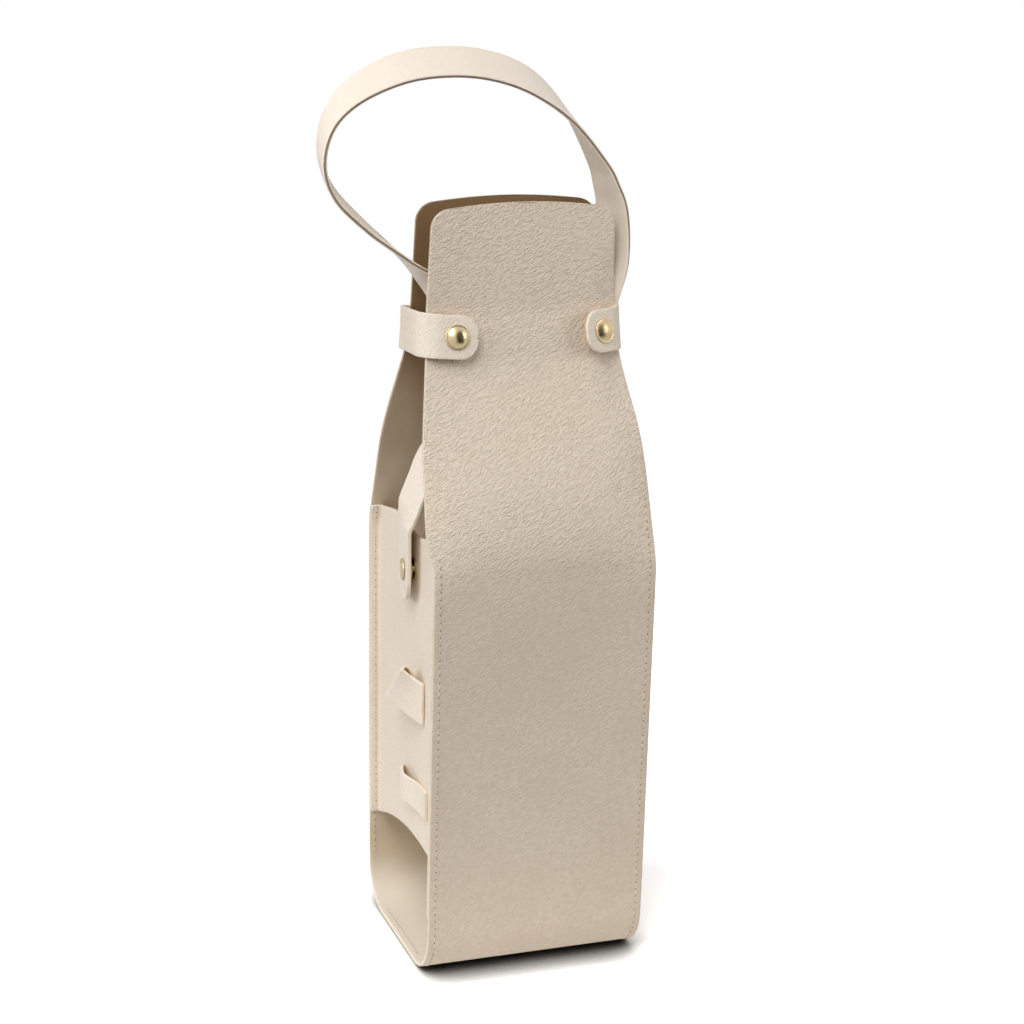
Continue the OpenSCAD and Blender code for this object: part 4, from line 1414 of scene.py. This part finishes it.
@dataclass
class SideStrap:
    """Short strap from the left snap post down over the left side wall."""

    handle: Handle  # handle whose layers it lies behind
    finishes: Finishes  # finishes of the carrier
    # shares of the fold's x, of the shoulder's half depth and of the rise, then the turn
    rows: Sequence[Row] = (
        (1, -0.094, 0, 0), (0.98, -0.094, 0.05, 0), (0.955, -0.094, 0.11, 0), (0.9, -0.094, 0.19, 0),
        (0.86, -0.094, 0.245, 0), (0.82, -0.094, 0.305, 0), (0.775, -0.094, 0.37, 2),
        (0.735, -0.1, 0.43, 10), (0.695, -0.115, 0.52, 30), (0.665, -0.15, 0.62, 56),
        (0.645, -0.195, 0.71, 78), (0.635, -0.223, 0.79, 90),
    )
    fold: Point = (-0.0512, -0.005, 0.203)  # place of its fold above the wall
    fold_rise: float = 0.0013  # how far above the fold the upper part starts
    bend: Span = (0.003, 0.004)  # distances above and below the fold
    tab: float = 0.032  # length of the tab below the fold
    width: float = 0.024  # width of the strap
    thickness: float = 0.002  # thickness of the strap
    tip_r: float = 0.010  # corner radius of its tip
    end_r: float = 0.002  # corner radius of its upper end
    end_past: float = 0.004  # how far it goes past the left snap
    close: float = 0.055  # share of the rise at which the tab's turn has ended
    pull: float = -5.0  # turn above the fold where the strap is pulled forward, in degrees
    pull_span: Row = (0.055, 0.11, 0.3, 0.45)  # shares of the rise between which that turn comes and goes
    step: float = 0.0012  # distance between its rows of points
    across: int = 14  # number of faces across its width
    curve_steps: int = 12  # steps of its line from one of the rows above to the next
    tab_rows: int = 50  # points of its line along the tab
    seat_rows: int = 12  # points of its line where it lies behind the handle
    join: Span = (0.0005, 0.001)  # distances left free below and above the upper part's line

    def build(self) -> Piece:
        """Builds the strap as one piece: its tab, its upper part and its seat behind the handle.

        Returns:
            The side strap.
        """
        seats, form, layer = self.handle.seats, self.handle.seats.form, self.handle
        fold_x, fold_y, fold_z = self.fold
        end_z, start_z = form.band_z + self.end_past, fold_z + self.fold_rise
        x, y, up, turn = catmull(self.rows, self.curve_steps).T
        upper = np.stack([fold_x * x, form.shoulder_d / 2 * y, start_z + (end_z - start_z) * up], -1)
        z = np.linspace(upper[-1, 2] + self.join[1], end_z, self.seat_rows)
        y = layer.layer_y(z, form.panel_t + 2 * layer.gap + layer.thickness)
        seated = np.stack([np.full_like(z, seats.x(Side.LEFT)), y, z], -1)
        z = np.linspace(fold_z - self.tab, start_z - self.join[0], self.tab_rows)
        lower = np.stack([np.full_like(z, fold_x), np.full_like(z, fold_y), z], -1)
        opened = seats.strap_turn * (1 - ease(0.0, self.close, up)) + self.pull * window(self.pull_span, up)
        turns = [np.full(self.tab_rows, seats.strap_turn), turn + opened, np.full(self.seat_rows, 90.0)]
        turn = np.radians(np.concatenate(turns))
        way = np.stack([np.sin(turn), np.cos(turn), np.zeros_like(turn)], -1)
        line = np.concatenate([lower, upper, seated])
        strap = Strap(self.width, self.thickness, self.tip_r, self.end_r, self.step, across=self.across)
        looks = self.finishes.pick("strap_grain", "strap_back", "cut_edge")
        piece = strap.build("side_strap_leather", line, way, looks)
        dress(piece, "strap_leather", "strap_upper", "strap_tab", body=None)
        start, end = (Vector(self.fold) + Vector((0, 0, rise)) for rise in (self.bend[0], -self.bend[1]))
        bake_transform(piece)
        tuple(start)
        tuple(end)
        return piece


# Hardware


@dataclass
class Hardware:
    """Snap caps and sockets, and the finish of the studs, posts, rivets and burrs."""

    seats: SnapSeat  # frames of the snaps
    finishes: Finishes  # finishes of the carrier
    cap_h: float = 0.0024  # height of the front caps
    low_cap_h: float = 0.0014  # height of the side strap's cap
    cap_base: float = 0.0047  # distance of the caps' back from the panel's face
    rim: float = 0.0004  # radius of a cap's rolled rim
    rim_in: float = 0.0005  # how far inside the cap's edge its dome ends
    dome_drop: float = 0.72  # share of a cap's height by which its dome falls to the rim
    dome_power: float = 2.3  # how late the dome falls
    dome_start: float = 0.06  # share of the dome's radius at which its first ring stands
    back_share: float = 0.5  # share of a cap's radius at which its back closes
    dome_rings: int = 16  # rings of points over a dome
    rim_rings: int = 8  # rings of points round a rim
    socket_span: Span = (0.0011, 0.0027)  # distances of a socket's back and front from the panel's face
    bore: float = 0.0025  # radius of a socket's bore
    socket_r: float = 0.005  # radius of a socket
    socket_edge: float = 0.0003  # size of its eased edges

    def cap_profile(self, radius: float, rise: float) -> list[Span]:
        """Profile of a domed cap with a rolled rim.

        Args:
            radius: Radius of the cap.
            rise: Height of the cap.

        Returns:
            Radius and height of each point.
        """
        base, rim, dome = self.cap_base, self.rim, radius - self.rim_in
        shares = np.linspace(self.dome_start, 1, self.dome_rings)
        points = [(dome * a, base + rise * (1 - a**self.dome_power * self.dome_drop)) for a in shares]
        for a in np.linspace(math.pi / 2, -math.pi / 2, self.rim_rings):
            points.append((radius - rim + rim * math.cos(a), base + rim + rim * math.sin(a)))
        return [*points, (radius * self.back_share, base)]

    def socket_profile(self) -> list[Span]:
        """Profile of the socket ring on the back of a tab.

        Returns:
            Radius and height of each point.
        """
        (low, high), bore, outer, edge = self.socket_span, self.bore, self.socket_r, self.socket_edge
        return [
            (bore, high), (outer, high), (outer, low + edge), (outer - edge, low), (bore + edge, low),
            (bore, low + edge), (bore, high),
        ]

    def snap(self, body: str, name: str, place: Matrix, radius: float, rise: float) -> list[Piece]:
        """Builds the cap and the socket of one snap.

        Args:
            body: Body that they move with.
            name: Start of their nodes' names.
            place: Frame of the snap.
            radius: Radius of the cap.
            rise: Height of the cap.

        Returns:
            The cap and the socket.
        """
        brass = self.finishes.made["pale_brass"]
        cap = Turned(self.cap_profile(radius, rise)).build(f"{name}_cap_dome", place, brass)
        ring = Turned(self.socket_profile(), closed=False).build(f"{name}_socket_ring", place, brass)
        return [
            dress(cap, "brass", f"{name}_cap", body=body),
            dress(ring, "brass", f"{name}_socket", body=body),
        ]

    def build(self) -> list[Piece]:
        """Builds the caps and sockets and gives the other metal parts their finish.

        Returns:
            The new pieces.
        """
        pieces = []
        for side in Side:
            tab = f"{side.word}_tab"
            low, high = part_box(f"{tab}_cap")
            pieces += self.snap(tab, tab, self.seats.front(side), (high.x - low.x) / 2, self.cap_h)
        low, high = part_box("strap_cap")
        pieces += self.snap("strap_tab", "strap", self.seats.wall(), (high.y - low.y) / 2, self.low_cap_h)
        for name in frame["nodes"]:
            if any(word in name for word in ("stud", "rivet", "burr")):
                node = frame["nodes"][name]
                node.data.materials.clear()
                node.data.materials.append(self.finishes.made["pale_brass"])
        return pieces


# Studio


@dataclass(frozen=True)
class Lamp:
    """A soft square lamp."""

    name: str  # name of the lamp
    place: Point  # where it stands
    aim: Point  # point it is turned to
    size: float  # width of its panel
    power: float  # power in watts

    def build(self) -> None:
        """Adds the lamp."""
        data = bpy.data.lights.new(self.name, "AREA")
        data.size, data.energy = self.size, self.power
        lamp = bpy.data.objects.new(self.name, data)
        lamp.location = self.place
        lamp.rotation_euler = (Vector(self.aim) - Vector(self.place)).to_track_quat("-Z", "Y").to_euler()
        lamp.visible_camera = False
        bpy.context.scene.collection.objects.link(lamp)


@dataclass
class Studio:
    """Floor, light and camera."""

    eye: Point = (-0.3449, -0.9794, 0.4933)  # place of the camera
    right: Point = (0.944, -0.328, 0.020)  # direction to the right in its picture
    up: Point = (0.070, 0.258, 0.964)  # direction up in its picture
    lens: float = 82.4  # focal length in millimetres
    sensor: float = 36.0  # width of the sensor in millimetres
    floor_size: float = 60.0  # width of the floor
    floor_z: float = -0.0003  # height of the floor, just under the base
    floor_white: float = 2.2  # paint of the floor as the camera sees it, bright enough to clip to white
    contact: float = 0.022  # reach of the painted contact shade under the base
    bounce: Span = (1.0, 0.28)  # paint of the floor as the light sees it, near the base and far from it
    bounce_r: Span = (0.08, 0.42)  # distances between which that paint changes
    glow_r: Span = (0.5, 1.2)  # distances between which the floor runs into the white surround
    mirrored: float = 0.9  # brightness of the floor in the metal
    sky: float = 0.27  # strength of the surround's light
    key: float = 0.95  # strength of the key light
    key_way: Point = (0.42, 0.30, -0.86)  # direction of the key light
    key_angle: float = 38.0  # angle that it spans, in degrees
    # soft lamps over the neck, on the right and on the left
    lamps: tuple[Lamp, ...] = (
        Lamp("neck_lamp", (-0.30, -0.45, 0.72), (0, 0, 0.30), 0.35, 1.4),
        Lamp("right_lamp", (0.50, -0.42, 0.48), (0.04, 0, 0.27), 0.3, 1.1),
        Lamp("left_lamp", (-1.1, -0.05, 0.6), (0, 0, 0.20), 0.8, 5.2),
    )
    # places of a dark card's two ends on the right, which only the metal mirrors
    card_ends: tuple[Span, Span] = ((0.0, -0.75), (0.45, -0.41))
    card_h: float = 0.90  # height of that card

    def camera(self) -> None:
        """Adds the camera."""
        data = bpy.data.cameras.new("studio_camera")
        data.lens, data.sensor_width, data.clip_end = self.lens, self.sensor, 100.0
        camera = bpy.data.objects.new("studio_camera", data)
        bpy.context.scene.collection.objects.link(camera)
        x = Vector(self.right).normalized()
        z = x.cross(Vector(self.up)).normalized()
        place = Matrix((x, z.cross(x).normalized(), z)).transposed().to_4x4()
        place.translation = Vector(self.eye)
        camera.matrix_world = place
        bpy.context.scene.camera = camera

    def sheet(self, name: str, corners: Sequence[Point], material: Material) -> Piece:
        """Adds a flat sheet that isn't part of the carrier.

        Args:
            name: Name of the sheet.
            corners: Its four corners in order.
            material: Its finish.

        Returns:
            The sheet.
        """
        sheet = mesh_object(name, np.array(corners), [(0, 1, 2, 3)], [material])
        return sheet

    def floor(self) -> None:
        """Adds the pale floor, white to the camera but for the carrier's shadow: the lamps cast part of it
        and an occlusion node paints the dark contact shade under the base.
        """
        g = Graph(bpy.data.materials.new("pale_floor"))
        seen = g.add("LightPath").outputs
        away = g.add("VectorMath", {"operation": "LENGTH"}, _0=g.body()).outputs[1]
        lit = g.grey(g.span(away, *self.bounce_r, *self.bounce))
        # Painted contact shade: the square of the occlusion darkens the floor's colour for the camera next to
        # the base.
        open_air = g.add("AmbientOcclusion", {"samples": 8}, Distance=self.contact).outputs["AO"]
        white = g.grey(g.maths("MULTIPLY", g.maths("POWER", open_air, 2.0), self.floor_white))
        paint = g.add("BsdfDiffuse", Color=g.mix(seen["Is Camera Ray"], lit, white)).outputs[0]
        glow = g.add("Emission", Color=WHITE, Strength=1.0).outputs[0]
        mirrored = g.add("Emission", Color=WHITE, Strength=self.mirrored).outputs[0]
        far = g.maths("MULTIPLY", g.span(away, *self.glow_r), seen["Is Camera Ray"])
        near = g.add("MixShader", _0=far, _1=paint, _2=glow).outputs[0]
        whole = g.add("MixShader", _0=seen["Is Glossy Ray"], _1=near, _2=mirrored)
        half, z = self.floor_size / 2, self.floor_z
        corners = [(-half, -half, z), (half, -half, z), (half, half, z), (-half, half, z)]
        self.sheet("studio_floor", corners, g.end(whole))

    def world(self) -> None:
        """Sets a surround that gives a plain grey light and looks white, in the metal too."""
        g = Graph(bpy.data.worlds.new("studio_world"))
        seen = g.add("LightPath").outputs
        shown = g.maths("MAXIMUM", seen["Is Camera Ray"], seen["Is Transmission Ray"])
        shown = g.maths("MAXIMUM", shown, seen["Is Glossy Ray"])
        lights = self.sky, 1.0
        grey, white = (g.add("Background", Color=WHITE, Strength=light).outputs[0] for light in lights)
        bpy.context.scene.world = g.end(g.add("MixShader", _0=shown, _1=grey, _2=white))

    def sun(self) -> None:
        """Adds the large soft key light, from the left and above."""
        data = bpy.data.lights.new("key_light", "SUN")
        data.energy, data.angle = self.key, math.radians(self.key_angle)
        sun = bpy.data.objects.new("key_light", data)
        bpy.context.scene.collection.objects.link(sun)
        sun.rotation_euler = Vector(self.key_way).to_track_quat("-Z", "Y").to_euler()

    def dark_card(self) -> None:
        """Adds the dark card that only the metal mirrors."""
        g = Graph(bpy.data.materials.new("card_black"))
        black = g.end(g.add("BsdfDiffuse", Color=(0.02, 0.02, 0.02, 1)))
        (near, far), top = self.card_ends, self.card_h
        corners = [(*near, 0.0), (*far, 0.0), (*far, top), (*near, top)]
        card = self.sheet("dark_card", corners, black)
        for ray in ("camera", "diffuse", "shadow", "transmission", "volume_scatter"):
            setattr(card, "visible_" + ray, False)

    def build(self) -> None:
        """Builds the floor, the light and the camera."""
        self.world()
        self.floor()
        self.sun()
        for lamp in self.lamps:
            lamp.build()
        self.dark_card()
        self.camera()
        bpy.context.scene.view_settings.view_transform = "Standard"


def main() -> None:
    """Builds the carrier and its studio."""
    logging.basicConfig(level=logging.INFO, format="%(message)s")
    finishes, form = Finishes(), ShellForm()
    seats = SnapSeat(form)
    handle = Handle(seats, finishes)
    walls = {side: SideWall(form, finishes, side) for side in Side}
    pieces = Shell(form, finishes).build()
    pieces += [wall.build() for wall in walls.values()]
    for name, rows, bulge, width in (
        ("upper", UPPER_LOOP_ROWS, 0.008, 0.020),
        ("lower", LOWER_LOOP_ROWS, 0.0035, 0.013),
    ):
        loop = ToolLoop(walls[Side.LEFT], f"{name}_loop", f"{name}_tool_loop", bulge, width, rows)
        pieces.append(loop.build())
    pieces += [NeckBand(seats, finishes, side).build() for side in Side]
    pieces.append(handle.build())
    pieces.append(SideStrap(handle, finishes).build())
    pieces += Hardware(seats, finishes).build()
    for piece in pieces:
        log.info("%s: %d faces", piece.name, len(piece.data.polygons))
    Studio().build()


if __name__ == "__main__":
    main()
